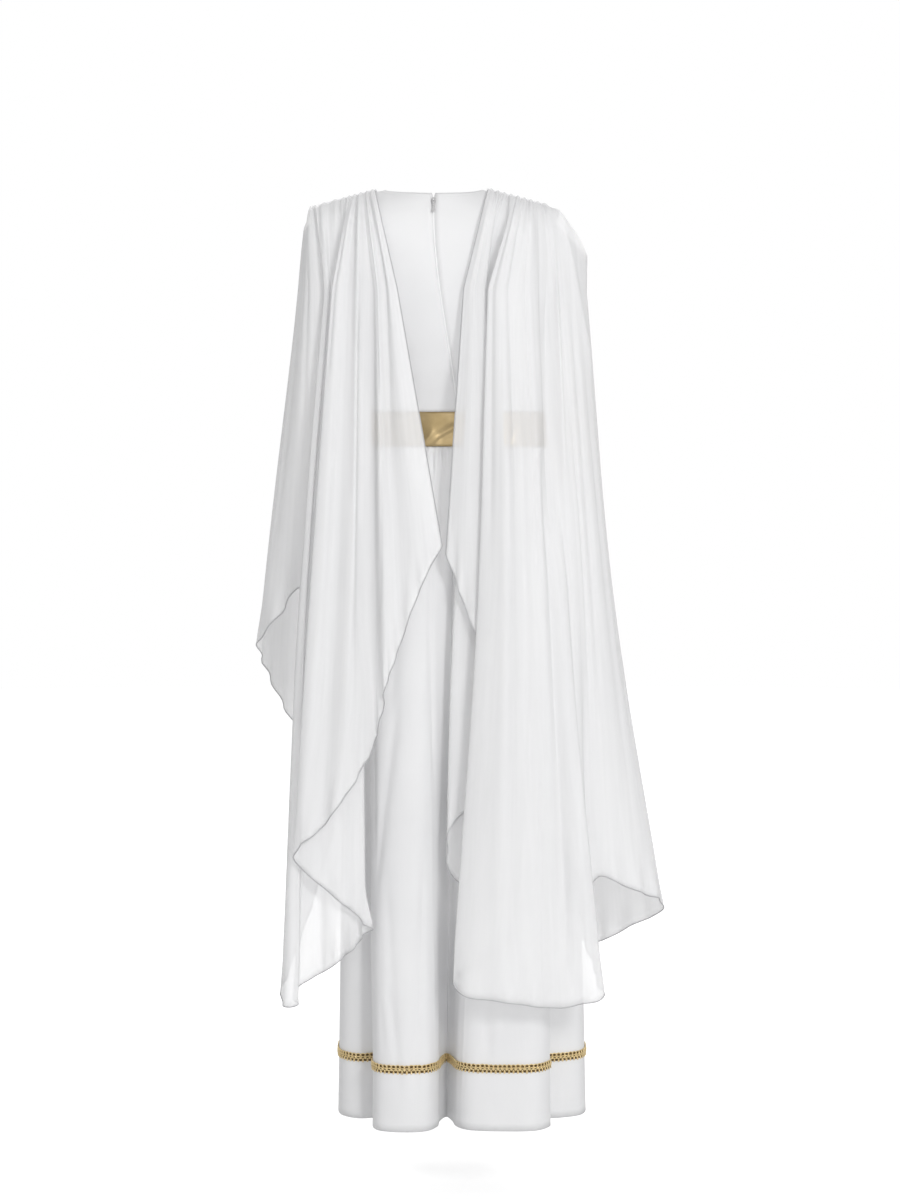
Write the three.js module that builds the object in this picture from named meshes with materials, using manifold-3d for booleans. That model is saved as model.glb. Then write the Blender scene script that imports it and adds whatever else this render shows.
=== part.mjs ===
// Roman toga costume for a woman, worn form with nobody in it: a long white sleeveless dress with a
// gold waistband, a gold braid above the hem, a centre back zip, and two chiffon shoulder drapes that
// are gathered into the shoulder seams, fall down the back, pass round the outside of the arms and
// hang down the front.
//
// Millimetres, +Z up. The front faces -Y and the wearer's left is +X. The origin lies midway between
// the two side neck points, where the shoulders carry the garment.
import * as THREE from "three";
import { mergeVertices } from "three/addons/utils/BufferGeometryUtils.js";
import Manifold from "manifold-3d";

// Cloth thicknesses and the clearance between pieces that are sewn together
const DRESS_CLOTH = 1.5;
const CHIFFON = 1.2;
const BRAID_CLOTH = 1.2;
const SEAM_GAP = 0.3;
const SMALL_GAP = 0.1;

// Heights of the dress, down from the side neck points
const BAND_TOP = -326;
const BAND_BOTTOM = -376;
const BAND_OVERLAP = 3;
const BAND_STANDS_OUT = 2.3;
const BAND_COLUMNS = 48;
const HEM = -1364;
const HIP = -620;
const BRAID_TOP = -1265;
const BRAID_BOTTOM = -1282;

// Neckline, shoulder seams and armholes
const NECK_HALF = 71;
const BACK_NECK_DROP = 10;
const FRONT_NECK_DROP = 80;
const SHOULDER_HALF = 185;
const SHOULDER_SLOPE = 0.27;
const UNDERARM = -205;
const NAPE_RISE = 26;
const SHOULDER_ROUND = 70;
const NAPE_ROUND = 130;

// The waist stands to the wearer's right of the neck, because the weight is on one leg
const LEAN = -38;
const LEAN_FROM = -40;
const LEAN_TO = -390;

// Half width and depths of the torso at each height, as an oval that is a little squared off
const SQUARENESS = 2.3;
const TORSO = [
  { z: 30, half: 232, back: 100, front: 86 },
  { z: 0, half: 226, back: 101, front: 88 },
  { z: -60, half: 203, back: 104, front: 96 },
  { z: -120, half: 171, back: 105, front: 106 },
  { z: -205, half: 141, back: 99, front: 116 },
  { z: -260, half: 134, back: 88, front: 108 },
  { z: -326, half: 127, back: 77, front: 86 },
  { z: -376, half: 129, back: 79, front: 84 },
  { z: -460, half: 145, back: 98, front: 92 },
  { z: -620, half: 163, back: 119, front: 104 },
];

// The skirt's folds, one row each, in order from the left side seam over the back and round the
// front. turn is where the fold starts at the waist, in degrees from the left side; hip is how far
// it stands out of the hip oval; hemX and hemY are its place at the hem from the skirt's centre.
const SKIRT_FOLDS = [
  { turn: 0, hip: 0, hemX: 181, hemY: 0 },
  { turn: 14, hip: 2, hemX: 173, hemY: 46 },
  { turn: 26, hip: -2, hemX: 149, hemY: 66 },
  { turn: 35, hip: -6, hemX: 120, hemY: 64 },
  { turn: 42, hip: -1, hemX: 127, hemY: 104 },
  { turn: 50, hip: 5, hemX: 116, hemY: 141 },
  { turn: 62, hip: 8, hemX: 82, hemY: 153 },
  { turn: 73, hip: 5, hemX: 48, hemY: 146 },
  { turn: 79, hip: -2, hemX: 33, hemY: 118 },
  { turn: 83, hip: -10, hemX: 30, hemY: 84 },
  { turn: 87, hip: -16, hemX: 20, hemY: 58 },
  { turn: 91, hip: -10, hemX: 11, hemY: 84 },
  { turn: 95, hip: -2, hemX: 5, hemY: 116 },
  { turn: 101, hip: 3, hemX: -10, hemY: 137 },
  { turn: 113, hip: 7, hemX: -60, hemY: 147 },
  { turn: 125, hip: 4, hemX: -111, hemY: 142 },
  { turn: 134, hip: -2, hemX: -132, hemY: 112 },
  { turn: 142, hip: -6, hemX: -127, hemY: 72 },
  { turn: 153, hip: -2, hemX: -150, hemY: 62 },
  { turn: 166, hip: 2, hemX: -178, hemY: 44 },
  { turn: 180, hip: 0, hemX: -189, hemY: 0 },
  { turn: 195, hip: 3, hemX: -177, hemY: -50 },
  { turn: 210, hip: -3, hemX: -140, hemY: -78 },
  { turn: 226, hip: 4, hemX: -112, hemY: -118 },
  { turn: 241, hip: -4, hemX: -72, hemY: -110 },
  { turn: 256, hip: 4, hemX: -34, hemY: -142 },
  { turn: 270, hip: -4, hemX: 2, hemY: -122 },
  { turn: 284, hip: 4, hemX: 38, hemY: -144 },
  { turn: 299, hip: -4, hemX: 76, hemY: -108 },
  { turn: 314, hip: 4, hemX: 114, hemY: -116 },
  { turn: 330, hip: -3, hemX: 140, hemY: -76 },
  { turn: 345, hip: 3, hemX: 176, hemY: -50 },
];
const SKIRT_BACK_SEAM = 10;
const SKIRT_RIGHT_SEAM = 20;
const SKIRT_COLUMNS = 3;
const SKIRT_TOP = BAND_BOTTOM + BAND_OVERLAP;
const SKIRT_TUCK = -0.75;
const UPPER_SKIRT_ROWS = [SKIRT_TOP, -386, -406, -440, -490, -570];
const LOWER_SKIRT_ROWS = [-680, -820, -980, -1130, BRAID_TOP, BRAID_BOTTOM, HEM];
const WAIST_GATHER = 3;
const WAIST_GATHER_START = 12;
const WAIST_GATHER_LENGTH = 95;

// A drape's folds, one row each, in order from its free edge on the back, round the arm, to its free
// edge at the front. x is measured outwards from the neck's centre, y towards the back, at shoulder
// blade, hip and shin height, and hem is the height where the cloth ends there.
const BLADE = -150;
const SHIN = -1150;
const LEFT_FOLDS = [
  { bladeX: 52, bladeY: 110, hipX: -28, hipY: 150, shinX: -95, shinY: 175, hem: -517 },
  { bladeX: 63, bladeY: 116, hipX: 14, hipY: 158, shinX: -32, shinY: 180, hem: -575 },
  { bladeX: 73, bladeY: 110, hipX: 49, hipY: 149, shinX: 20, shinY: 172, hem: -655 },
  { bladeX: 81, bladeY: 115, hipX: 69, hipY: 157, shinX: 45, shinY: 178, hem: -705 },
  { bladeX: 88, bladeY: 109, hipX: 88, hipY: 142, shinX: 76, shinY: 165, hem: -795 },
  { bladeX: 108, bladeY: 119, hipX: 116, hipY: 164, shinX: 150, shinY: 184, hem: -876 },
  { bladeX: 124, bladeY: 109, hipX: 142, hipY: 151, shinX: 185, shinY: 178, hem: -918 },
  { bladeX: 137, bladeY: 113, hipX: 164, hipY: 160, shinX: 210, shinY: 178, hem: -936 },
  { bladeX: 146, bladeY: 107, hipX: 179, hipY: 151, shinX: 211, shinY: 163, hem: -955 },
  { bladeX: 134, bladeY: 101, hipX: 145, hipY: 141, shinX: 148, shinY: 158, hem: -1006 },
  { bladeX: 119, bladeY: 98, hipX: 106, hipY: 137, shinX: 98, shinY: 154, hem: -1048 },
  { bladeX: 120, bladeY: 91, hipX: 107, hipY: 127, shinX: 99, shinY: 141, hem: -1066 },
  { bladeX: 134, bladeY: 90, hipX: 143, hipY: 122, shinX: 138, shinY: 143, hem: -1104 },
  { bladeX: 142, bladeY: 87, hipX: 165, hipY: 120, shinX: 172, shinY: 132, hem: -1124 },
  { bladeX: 148, bladeY: 88, hipX: 181, hipY: 123, shinX: 200, shinY: 134, hem: -1140 },
  { bladeX: 152, bladeY: 92, hipX: 185, hipY: 132, shinX: 193, shinY: 147, hem: -1156 },
  { bladeX: 157, bladeY: 89, hipX: 193, hipY: 128, shinX: 210, shinY: 148, hem: -1158 },
  { bladeX: 157, bladeY: 84, hipX: 194, hipY: 115, shinX: 220, shinY: 130, hem: -1150 },
  { bladeX: 149, bladeY: 81, hipX: 160, hipY: 105, shinX: 190, shinY: 108, hem: -1040 },
  { bladeX: 150, bladeY: 74, hipX: 136, hipY: 96, shinX: 152, shinY: 98, hem: -880 },
  { bladeX: 167, bladeY: 76, hipX: 161, hipY: 80, shinX: 190, shinY: 80, hem: -665 },
  { bladeX: 182, bladeY: 70, hipX: 199, hipY: 68, shinX: 236, shinY: 70, hem: -555 },
  { bladeX: 191, bladeY: 53, hipX: 226, hipY: 52, shinX: 268, shinY: 55, hem: -596 },
  { bladeX: 199, bladeY: 22, hipX: 251, hipY: 24, shinX: 308, shinY: 30, hem: -626 },
  { bladeX: 201, bladeY: -12, hipX: 255, hipY: -14, shinX: 307, shinY: -15, hem: -648 },
  { bladeX: 193, bladeY: -52, hipX: 238, hipY: -54, shinX: 266, shinY: -70, hem: -702 },
  { bladeX: 180, bladeY: -80, hipX: 218, hipY: -90, shinX: 228, shinY: -110, hem: -757 },
  { bladeX: 160, bladeY: -96, hipX: 186, hipY: -112, shinX: 194, shinY: -128, hem: -815 },
  { bladeX: 143, bladeY: -106, hipX: 168, hipY: -140, shinX: 172, shinY: -166, hem: -890 },
  { bladeX: 126, bladeY: -110, hipX: 134, hipY: -132, shinX: 132, shinY: -152, hem: -940 },
  { bladeX: 112, bladeY: -124, hipX: 110, hipY: -152, shinX: 100, shinY: -176, hem: -890 },
  { bladeX: 98, bladeY: -120, hipX: 80, hipY: -138, shinX: 62, shinY: -158, hem: -770 },
  { bladeX: 84, bladeY: -128, hipX: 52, hipY: -152, shinX: 24, shinY: -172, hem: -640 },
  { bladeX: 70, bladeY: -124, hipX: 22, hipY: -144, shinX: -14, shinY: -160, hem: -530 },
];
const RIGHT_FOLDS = [
  { bladeX: 43, bladeY: 114, hipX: 13, hipY: 143, shinX: -10, shinY: 160, hem: -530 },
  { bladeX: 56, bladeY: 119, hipX: 48, hipY: 152, shinX: 50, shinY: 168, hem: -612 },
  { bladeX: 73, bladeY: 116, hipX: 86, hipY: 147, shinX: 100, shinY: 164, hem: -725 },
  { bladeX: 74, bladeY: 110, hipX: 87, hipY: 137, shinX: 98, shinY: 154, hem: -850 },
  { bladeX: 58, bladeY: 108, hipX: 33, hipY: 134, shinX: 20, shinY: 151, hem: -918 },
  { bladeX: 59, bladeY: 102, hipX: 34, hipY: 125, shinX: 22, shinY: 140, hem: -985 },
  { bladeX: 92, bladeY: 106, hipX: 106, hipY: 132, shinX: 118, shinY: 150, hem: -1040 },
  { bladeX: 91, bladeY: 119, hipX: 101, hipY: 152, shinX: 104, shinY: 172, hem: -1075 },
  { bladeX: 78, bladeY: 126, hipX: 62, hipY: 162, shinX: 26, shinY: 183, hem: -1130 },
  { bladeX: 88, bladeY: 131, hipX: 80, hipY: 173, shinX: 48, shinY: 198, hem: -1146 },
  { bladeX: 101, bladeY: 129, hipX: 103, hipY: 175, shinX: 90, shinY: 205, hem: -1150 },
  { bladeX: 113, bladeY: 120, hipX: 124, hipY: 163, shinX: 132, shinY: 198, hem: -1156 },
  { bladeX: 126, bladeY: 115, hipX: 142, hipY: 160, shinX: 160, shinY: 188, hem: -1160 },
  { bladeX: 138, bladeY: 110, hipX: 160, hipY: 157, shinX: 184, shinY: 180, hem: -1160 },
  { bladeX: 150, bladeY: 98, hipX: 176, hipY: 147, shinX: 208, shinY: 181, hem: -1154 },
  { bladeX: 163, bladeY: 82, hipX: 192, hipY: 137, shinX: 241, shinY: 173, hem: -1144 },
  { bladeX: 172, bladeY: 76, hipX: 203, hipY: 125, shinX: 231, shinY: 147, hem: -1105 },
  { bladeX: 180, bladeY: 72, hipX: 214, hipY: 112, shinX: 214, shinY: 118, hem: -1020 },
  { bladeX: 190, bladeY: 68, hipX: 226, hipY: 104, shinX: 246, shinY: 112, hem: -976 },
  { bladeX: 203, bladeY: 56, hipX: 242, hipY: 88, shinX: 284, shinY: 100, hem: -988 },
  { bladeX: 216, bladeY: 36, hipX: 260, hipY: 60, shinX: 324, shinY: 72, hem: -1005 },
  { bladeX: 225, bladeY: 12, hipX: 268, hipY: 24, shinX: 354, shinY: 30, hem: -1020 },
  { bladeX: 224, bladeY: -14, hipX: 266, hipY: -16, shinX: 348, shinY: -20, hem: -1046 },
  { bladeX: 212, bladeY: -40, hipX: 252, hipY: -54, shinX: 304, shinY: -66, hem: -1075 },
  { bladeX: 194, bladeY: -62, hipX: 232, hipY: -84, shinX: 262, shinY: -104, hem: -1106 },
  { bladeX: 178, bladeY: -84, hipX: 208, hipY: -112, shinX: 232, shinY: -142, hem: -1120 },
  { bladeX: 160, bladeY: -98, hipX: 184, hipY: -118, shinX: 202, shinY: -140, hem: -1090 },
  { bladeX: 143, bladeY: -116, hipX: 160, hipY: -142, shinX: 172, shinY: -172, hem: -1020 },
  { bladeX: 126, bladeY: -118, hipX: 134, hipY: -136, shinX: 132, shinY: -158, hem: -905 },
  { bladeX: 110, bladeY: -128, hipX: 106, hipY: -152, shinX: 90, shinY: -172, hem: -780 },
  { bladeX: 92, bladeY: -124, hipX: 78, hipY: -142, shinX: 56, shinY: -158, hem: -650 },
  { bladeX: 74, bladeY: -128, hipX: 50, hipY: -148, shinX: 24, shinY: -162, hem: -530 },
];

// How each drape is sewn on: its seam runs from inner to outer along the shoulder, rise above the
// bodice's. The folds before firstFront hang behind. The cloth is open over the top of the arm for
// slit millimetres, slitFolds folds to each side, and armRound is how far it rounds out there.
const DRAPES = {
  drape_left: {
    side: 1,
    folds: LEFT_FOLDS,
    firstFront: 24,
    inner: 86,
    outer: 184,
    rise: 2.9,
    armRound: 0.25,
    slit: 34,
    slitFolds: 2.6,
  },
  drape_right: {
    side: -1,
    folds: RIGHT_FOLDS,
    firstFront: 22,
    inner: 80,
    outer: 181,
    rise: 2.4,
    armRound: 1,
    slit: 72,
    slitFolds: 3.2,
  },
};
const DRAPE_EDGE_DROP = 0.25;
const SHOULDER_GATHER = 2;
const SHOULDER_GATHER_LENGTH = 110;
const ARM_FROM = 150;
const DRAPE_COLUMNS = 2;
const DRAPE_ROUND_ROWS = 5;
const DRAPE_HANG_ROWS = 10;

// The zip's slider and pull, and the short parted V above them
const ZIP_NOTCH = 2.5;
const ZIP_NOTCH_LENGTH = 9;
const SLIDER = { drop: 12, width: 6, length: 9, depth: 1.6, corner: 1, narrow: 0.7 };
const CROWN = { width: 1.4, length: 5.6, height: 3.4, bar: 1, chamfer: 0.8 };
const PULL_CURVE_STEPS = 8;
const PULL = { width: 5, length: 24, depth: 0.9, eye: 3.2, eyeLength: 3.2, bar: 0.9, waist: 0.6, drop: 7 };

// Small helpers for numbers
const lerp = THREE.MathUtils.lerp;
const clamp01 = (t) => THREE.MathUtils.clamp(t, 0, 1);
const smooth = (t) => THREE.MathUtils.smoothstep(t, 0, 1);
const radians = THREE.MathUtils.degToRad;

// A smooth curve through a table's values, read at a height between its rows
function readAt(heights, values, z) {
  const last = heights.length - 1;
  let i = 0;
  while (i < last - 1 && z < heights[i + 1]) i += 1;
  const slope = (a, b) => (values[b] - values[a]) / (heights[b] - heights[a]);
  const span = heights[i + 1] - heights[i];
  const startSlope = i > 0 ? slope(i - 1, i + 1) : slope(i, i + 1);
  const endSlope = i < last - 1 ? slope(i, i + 2) : slope(i, i + 1);
  const t = (z - heights[i]) / span;
  const t2 = t * t;
  const t3 = t2 * t;
  return (
    (2 * t3 - 3 * t2 + 1) * values[i] +
    (t3 - 2 * t2 + t) * span * startSlope +
    (3 * t2 - 2 * t3) * values[i + 1] +
    (t3 - t2) * span * endSlope
  );
}

const torsoHeights = TORSO.map((row) => row.z);
const torsoAt = (key, z) => readAt(torsoHeights, TORSO.map((row) => row[key]), z);
const lean = (z) => LEAN * smooth((z - LEAN_FROM) / (LEAN_TO - LEAN_FROM));

// The top line of the shoulders, which rises towards the nape
function ridge(x) {
  const out = Math.abs(x) - NECK_HALF;
  return out > 0 ? -SHOULDER_SLOPE * out : NAPE_RISE * smooth(-out / NECK_HALF);
}

// How much of its full depth the torso has at a drop below that line
function rounding(x, drop) {
  const round = lerp(NAPE_ROUND, SHOULDER_ROUND, smooth(Math.abs(x) / NECK_HALF));
  const left = 1 - clamp01(drop / round);
  return Math.sqrt(1 - left * left);
}

// A point on the torso at a turn from the left side seam, over the back, and a height
function torsoPoint(turn, z, out = 0) {
  const c = Math.cos(radians(turn));
  const s = Math.sin(radians(turn));
  const half = torsoAt("half", z) + out;
  const depth = torsoAt(s > 0 ? "back" : "front", z) + out;
  const x = lean(z) + half * Math.sign(c) * Math.abs(c) ** (2 / SQUARENESS);
  const y = depth * Math.sign(s) * Math.abs(s) ** (2 / SQUARENESS);
  return new THREE.Vector3(x, y * rounding(x, ridge(x) + out - z), z);
}

// The turn at which the left half of the torso has a given distance from its centre line
function turnAt(distance, z) {
  const share = clamp01(distance / torsoAt("half", z));
  return THREE.MathUtils.radToDeg(Math.acos(share ** (SQUARENESS / 2)));
}

// A sheet of cloth as shared points and quads, and the closed wall that it becomes
class Sheet {
  constructor() {
    this.points = [];
    this.quads = [];
  }

  add(point) {
    this.points.push(point);
    return this.points.length - 1;
  }

  // Quads between two rows of point numbers
  join(row, next) {
    for (let i = 0; i + 1 < row.length; i += 1) {
      this.quads.push([row[i], row[i + 1], next[i + 1], next[i]]);
    }
  }

  normals() {
    const normals = this.points.map(() => new THREE.Vector3());
    for (const [a, b, c, d] of this.quads) {
      const across = this.points[c].clone().sub(this.points[a]);
      const normal = across.cross(this.points[d].clone().sub(this.points[b])).normalize();
      for (const i of [a, b, c, d]) normals[i].add(normal);
    }
    return normals.map((n) => n.normalize());
  }

  // The wall, with the normals at a flat seam kept along that seam's plane
  wall(thickness, normals = this.normals(), seamPlane = null) {
    if (seamPlane) this.points.forEach((point, i) => seamPlane(point, normals[i]));
    const count = this.points.length;
    const face = (out) => this.points.map((p, i) => p.clone().addScaledVector(normals[i], out));
    const positions = [...face(thickness / 2), ...face(-thickness / 2)].flatMap((p) => p.toArray());
    const index = [];
    const uses = new Map();
    for (const quad of this.quads) {
      const [a, b, c, d] = quad;
      index.push(a, b, c, a, c, d);
      index.push(a + count, c + count, b + count, a + count, d + count, c + count);
      quad.forEach((from, k) => {
        const to = quad[(k + 1) % 4];
        const key = from < to ? `${from},${to}` : `${to},${from}`;
        uses.set(key, [...(uses.get(key) ?? []), [from, to]]);
      });
    }
    for (const edges of uses.values()) {
      if (edges.length > 1) continue;
      const [[from, to]] = edges;
      index.push(from, from + count, to + count, from, to + count, to);
    }
    const geometry = new THREE.BufferGeometry();
    geometry.setAttribute("position", new THREE.Float32BufferAttribute(positions, 3));
    geometry.setIndex(signedVolume(positions, index) < 0 ? index.reverse() : index);
    return geometry;
  }
}

function signedVolume(positions, index) {
  const corner = (i) => new THREE.Vector3().fromArray(positions, 3 * index[i]);
  let volume = 0;
  for (let i = 0; i < index.length; i += 3) {
    volume += corner(i).dot(corner(i + 1).cross(corner(i + 2))) / 6;
  }
  return volume;
}

// Keeps a sheet's edge on the planes of the shoulder, side and centre seams
function flatSeams(point, normal) {
  if (Math.abs(point.y) < SEAM_GAP) normal.y = 0;
  if (Math.abs(point.x) < SEAM_GAP) normal.x = 0;
  normal.normalize();
}

function gridSheet(rows) {
  const sheet = new Sheet();
  const numbers = rows.map((row) => row.map((point) => sheet.add(point)));
  for (let i = 0; i + 1 < numbers.length; i += 1) sheet.join(numbers[i], numbers[i + 1]);
  return sheet;
}

const cloth = (name, color, roughness = 0.85, metalness = 0) =>
  new THREE.MeshStandardMaterial({ name, color, roughness, metalness });
const WHITE_DRESS = cloth("white dress cloth", 0xf3f3f3);
const WHITE_CHIFFON = cloth("white chiffon", 0xf8f8f8, 0.8);
const GOLD_SATIN = cloth("gold satin", 0xb89a5a, 0.35, 0.5);
const GOLD_BRAID = cloth("gold braid", 0xb08d3c, 0.4, 0.7);
const ZIP_METAL = cloth("zip metal", 0xc9c9c9, 0.3, 0.9);

function piece(name, geometry, material) {
  const mesh = new THREE.Mesh(geometry, material);
  mesh.name = name;
  return mesh;
}

// Half of the bodice, from its centre line to one side seam. The inner border climbs the centre
// and then follows the neckline; the outer one climbs the side seam and then the armhole.
const BODICE_ROWS = 14;
const BODICE_COLUMNS = 8;
const NECK_ROWS = 4;
const ARMHOLE_ROWS = 9;
const ARMHOLE_START = 1.3;

function bodiceRows(isBack) {
  const neckDrop = isBack ? BACK_NECK_DROP : FRONT_NECK_DROP;
  const bottom = BAND_TOP - BAND_OVERLAP;
  const shoulderTurn = turnAt(SHOULDER_HALF, ridge(SHOULDER_HALF));
  const border = (row, from, count) => clamp01((row - (BODICE_ROWS - count)) / count) * from;
  return Array.from({ length: BODICE_ROWS + 1 }, (_, row) => {
    const neck = border(row, Math.PI / 2, NECK_ROWS);
    const arm = border(row, Math.PI / 2, ARMHOLE_ROWS);
    const toNotch = BODICE_ROWS - NECK_ROWS - 1;
    const climb = lerp(bottom, -neckDrop - ZIP_NOTCH_LENGTH, clamp01(row / toNotch));
    const neckZ = row > toNotch ? -neckDrop * Math.cos(neck) : climb;
    const neckTurn = turnAt(NECK_HALF * Math.sin(neck), neckZ);
    const sideClimb = clamp01(row / (BODICE_ROWS - ARMHOLE_ROWS));
    const top = ridge(SHOULDER_HALF);
    const armZ = lerp(bottom, UNDERARM, sideClimb) + (top - UNDERARM) * (1 - Math.cos(arm));
    const armTurn = shoulderTurn * Math.sin(arm) ** ARMHOLE_START;
    return { neckTurn, neckZ, armTurn, armZ };
  });
}

// One row of that half as points, mirrored to either side and to front or back
function bodiceRow(border, side, isBack) {
  return Array.from({ length: BODICE_COLUMNS + 1 }, (_, column) => {
    const share = column / BODICE_COLUMNS;
    const turn = lerp(border.neckTurn, border.armTurn, share);
    const z = lerp(border.neckZ, border.armZ, share);
    const facing = isBack ? turn : -turn;
    const point = torsoPoint(side > 0 ? facing : 180 - facing, z);
    point.y += isBack ? SEAM_GAP / 2 : -SEAM_GAP / 2;
    return point;
  });
}

function bodiceBack(side) {
  const rows = bodiceRows(true).map((border) => {
    const points = bodiceRow(border, side, true);
    const alongCentre = Math.abs(points[0].x - lean(border.neckZ)) < SMALL_GAP;
    const parted = alongCentre ? clamp01(1 - (-BACK_NECK_DROP - border.neckZ) / ZIP_NOTCH_LENGTH) : 0;
    points[0].x += side * (SEAM_GAP / 2 + ZIP_NOTCH * parted);
    return points;
  });
  const sheet = gridSheet(rows);
  return sheet.wall(DRESS_CLOTH, sheet.normals(), flatSeams);
}

// The front is one piece: both halves share the centre line up to the neckline
function bodiceFront() {
  const sheet = new Sheet();
  const borders = bodiceRows(false);
  const shared = BODICE_ROWS - NECK_ROWS;
  const centre = borders.map((border) => sheet.add(bodiceRow(border, 1, false)[0]));
  for (const side of [1, -1]) {
    const rows = borders.map((border, i) => {
      const points = bodiceRow(border, side, false);
      const first = i <= shared || side > 0 ? centre[i] : sheet.add(points[0]);
      const numbers = [first, ...points.slice(1).map((point) => sheet.add(point))];
      return side > 0 ? numbers : numbers.reverse();
    });
    for (let i = 0; i + 1 < rows.length; i += 1) sheet.join(rows[i], rows[i + 1]);
  }
  return sheet.wall(DRESS_CLOTH, sheet.normals(), flatSeams);
}

// The gold band round the waist, over the edges of bodice and skirt
function waistband() {
  const heights = [BAND_TOP, (BAND_TOP + BAND_BOTTOM) / 2, BAND_BOTTOM];
  const sheet = new Sheet();
  const rows = heights.map((z) => {
    const ring = Array.from({ length: BAND_COLUMNS }, (_, i) => {
      return sheet.add(torsoPoint((360 * i) / BAND_COLUMNS, z, BAND_STANDS_OUT));
    });
    return [...ring, ring[0]];
  });
  for (let i = 0; i + 1 < rows.length; i += 1) sheet.join(rows[i], rows[i + 1]);
  return sheet.wall(DRESS_CLOTH);
}

// The whole ring of skirt points at one height
function skirtRing(z) {
  const points = SKIRT_FOLDS.map(({ turn, hip, hemX, hemY }) => {
    const waist = torsoPoint(turn, SKIRT_TOP, SKIRT_TUCK);
    const atHip = torsoPoint(turn, HIP, hip);
    const heights = [SKIRT_TOP, HIP, HEM];
    const x = readAt(heights, [waist.x, atHip.x, LEAN + hemX], z);
    const y = readAt(heights, [waist.y, atHip.y, hemY], z);
    return new THREE.Vector3(x, y, z);
  });
  const curve = new THREE.CatmullRomCurve3(points, true, "centripetal");
  const count = SKIRT_FOLDS.length * SKIRT_COLUMNS;
  const drop = SKIRT_TOP - z;
  const fade = smooth(drop / WAIST_GATHER_START) * (1 - smooth(drop / WAIST_GATHER_LENGTH));
  const ring = Array.from({ length: count }, (_, i) => curve.getPoint(i / count));
  return ring.map((point, i) => {
    const along = ring[(i + 1) % count].clone().sub(ring[(i + count - 1) % count]).normalize();
    const ripple = WAIST_GATHER * fade * (i % 2 ? 1 : -1);
    return point.add(new THREE.Vector3(along.y, -along.x, 0).multiplyScalar(-ripple));
  });
}

// The whole skirt as a closed ring of points, and its panels cut from it at the seams
function skirtSheet(heights) {
  const sheet = new Sheet();
  const rows = heights.map((z) => {
    const ring = skirtRing(z).map((point) => sheet.add(point));
    return [...ring, ring[0]];
  });
  for (let i = 0; i + 1 < rows.length; i += 1) sheet.join(rows[i], rows[i + 1]);
  return { sheet, rows, normals: sheet.normals() };
}

// One panel, from one seam to the next, with half the seam's clearance at each end
function skirtPanel(skirt, from, to) {
  const panel = new Sheet();
  const normals = [];
  const around = skirt.rows[0].length - 1;
  const rows = skirt.rows.map((ring) => {
    const row = [];
    for (let i = from; i <= to; i += 1) row.push(ring[i % around]);
    const last = row.length - 1;
    return row.map((number, i) => {
      const point = skirt.sheet.points[number].clone();
      const normal = skirt.normals[number].clone();
      if (i === 0 || i === last) {
        const inner = skirt.sheet.points[row[i === 0 ? 1 : last - 1]].clone().sub(point);
        inner.addScaledVector(normal, -inner.dot(normal));
        inner.z = 0;
        point.addScaledVector(inner.normalize(), (SEAM_GAP + SMALL_GAP) / 2);
      }
      normals.push(normal);
      return panel.add(point);
    });
  });
  for (let i = 0; i + 1 < rows.length; i += 1) panel.join(rows[i], rows[i + 1]);
  return panel.wall(DRESS_CLOTH, normals);
}

// The braid lies on the skirt's own points, moved out
function hemBraid() {
  const { sheet, normals } = skirtSheet([BRAID_TOP, BRAID_BOTTOM]);
  const centre = new THREE.Vector3(LEAN, 0, BRAID_TOP);
  let outwards = 0;
  sheet.points.forEach((point, i) => (outwards += normals[i].dot(point.clone().sub(centre))));
  const lift = Math.sign(outwards) * (DRESS_CLOTH / 2 + SEAM_GAP + SMALL_GAP + BRAID_CLOTH / 2);
  sheet.points.forEach((point, i) => point.addScaledVector(normals[i], lift));
  return sheet.wall(BRAID_CLOTH, normals);
}

// Where one fold of a drape runs, at a drop below the shoulder line
function foldPoint(drape, number, drop) {
  const fold = drape.folds[number];
  const behind = number < drape.firstFront;
  const innerFold = behind ? 0 : drape.folds.length - 1;
  const outerFold = behind ? drape.firstFront - 1 : drape.firstFront;
  const share = (number - innerFold) / (outerFold - innerFold);
  const seamX = lerp(drape.inner, drape.outer, share);
  const top = ridge(seamX) + drape.rise;
  const z = top - drop;
  const heights = [BLADE, HIP, SHIN];
  const below = Math.min(z, BLADE);
  const x = readAt(heights, [fold.bladeX, fold.hipX, fold.shinX], below);
  const y = readAt(heights, [fold.bladeY, fold.hipY, fold.shinY], below);
  const left = 1 - clamp01(drop / SHOULDER_ROUND);
  const round = Math.sqrt(1 - left * left);
  const straight = clamp01(drop / (top - BLADE));
  const overArm = drape.armRound * clamp01((seamX - ARM_FROM) / (drape.outer - ARM_FROM));
  const reach = lerp(straight, round, overArm);
  const gather = SHOULDER_GATHER * (1 - smooth(drop / SHOULDER_GATHER_LENGTH));
  const ripple = number % 2 ? gather : -gather;
  const outX = lerp(seamX, x, reach);
  const outY = y * round + ripple * round * Math.sign(y);
  return new THREE.Vector3(drape.side * outX, outY, z + (ripple + gather) * (1 - round));
}

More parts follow.
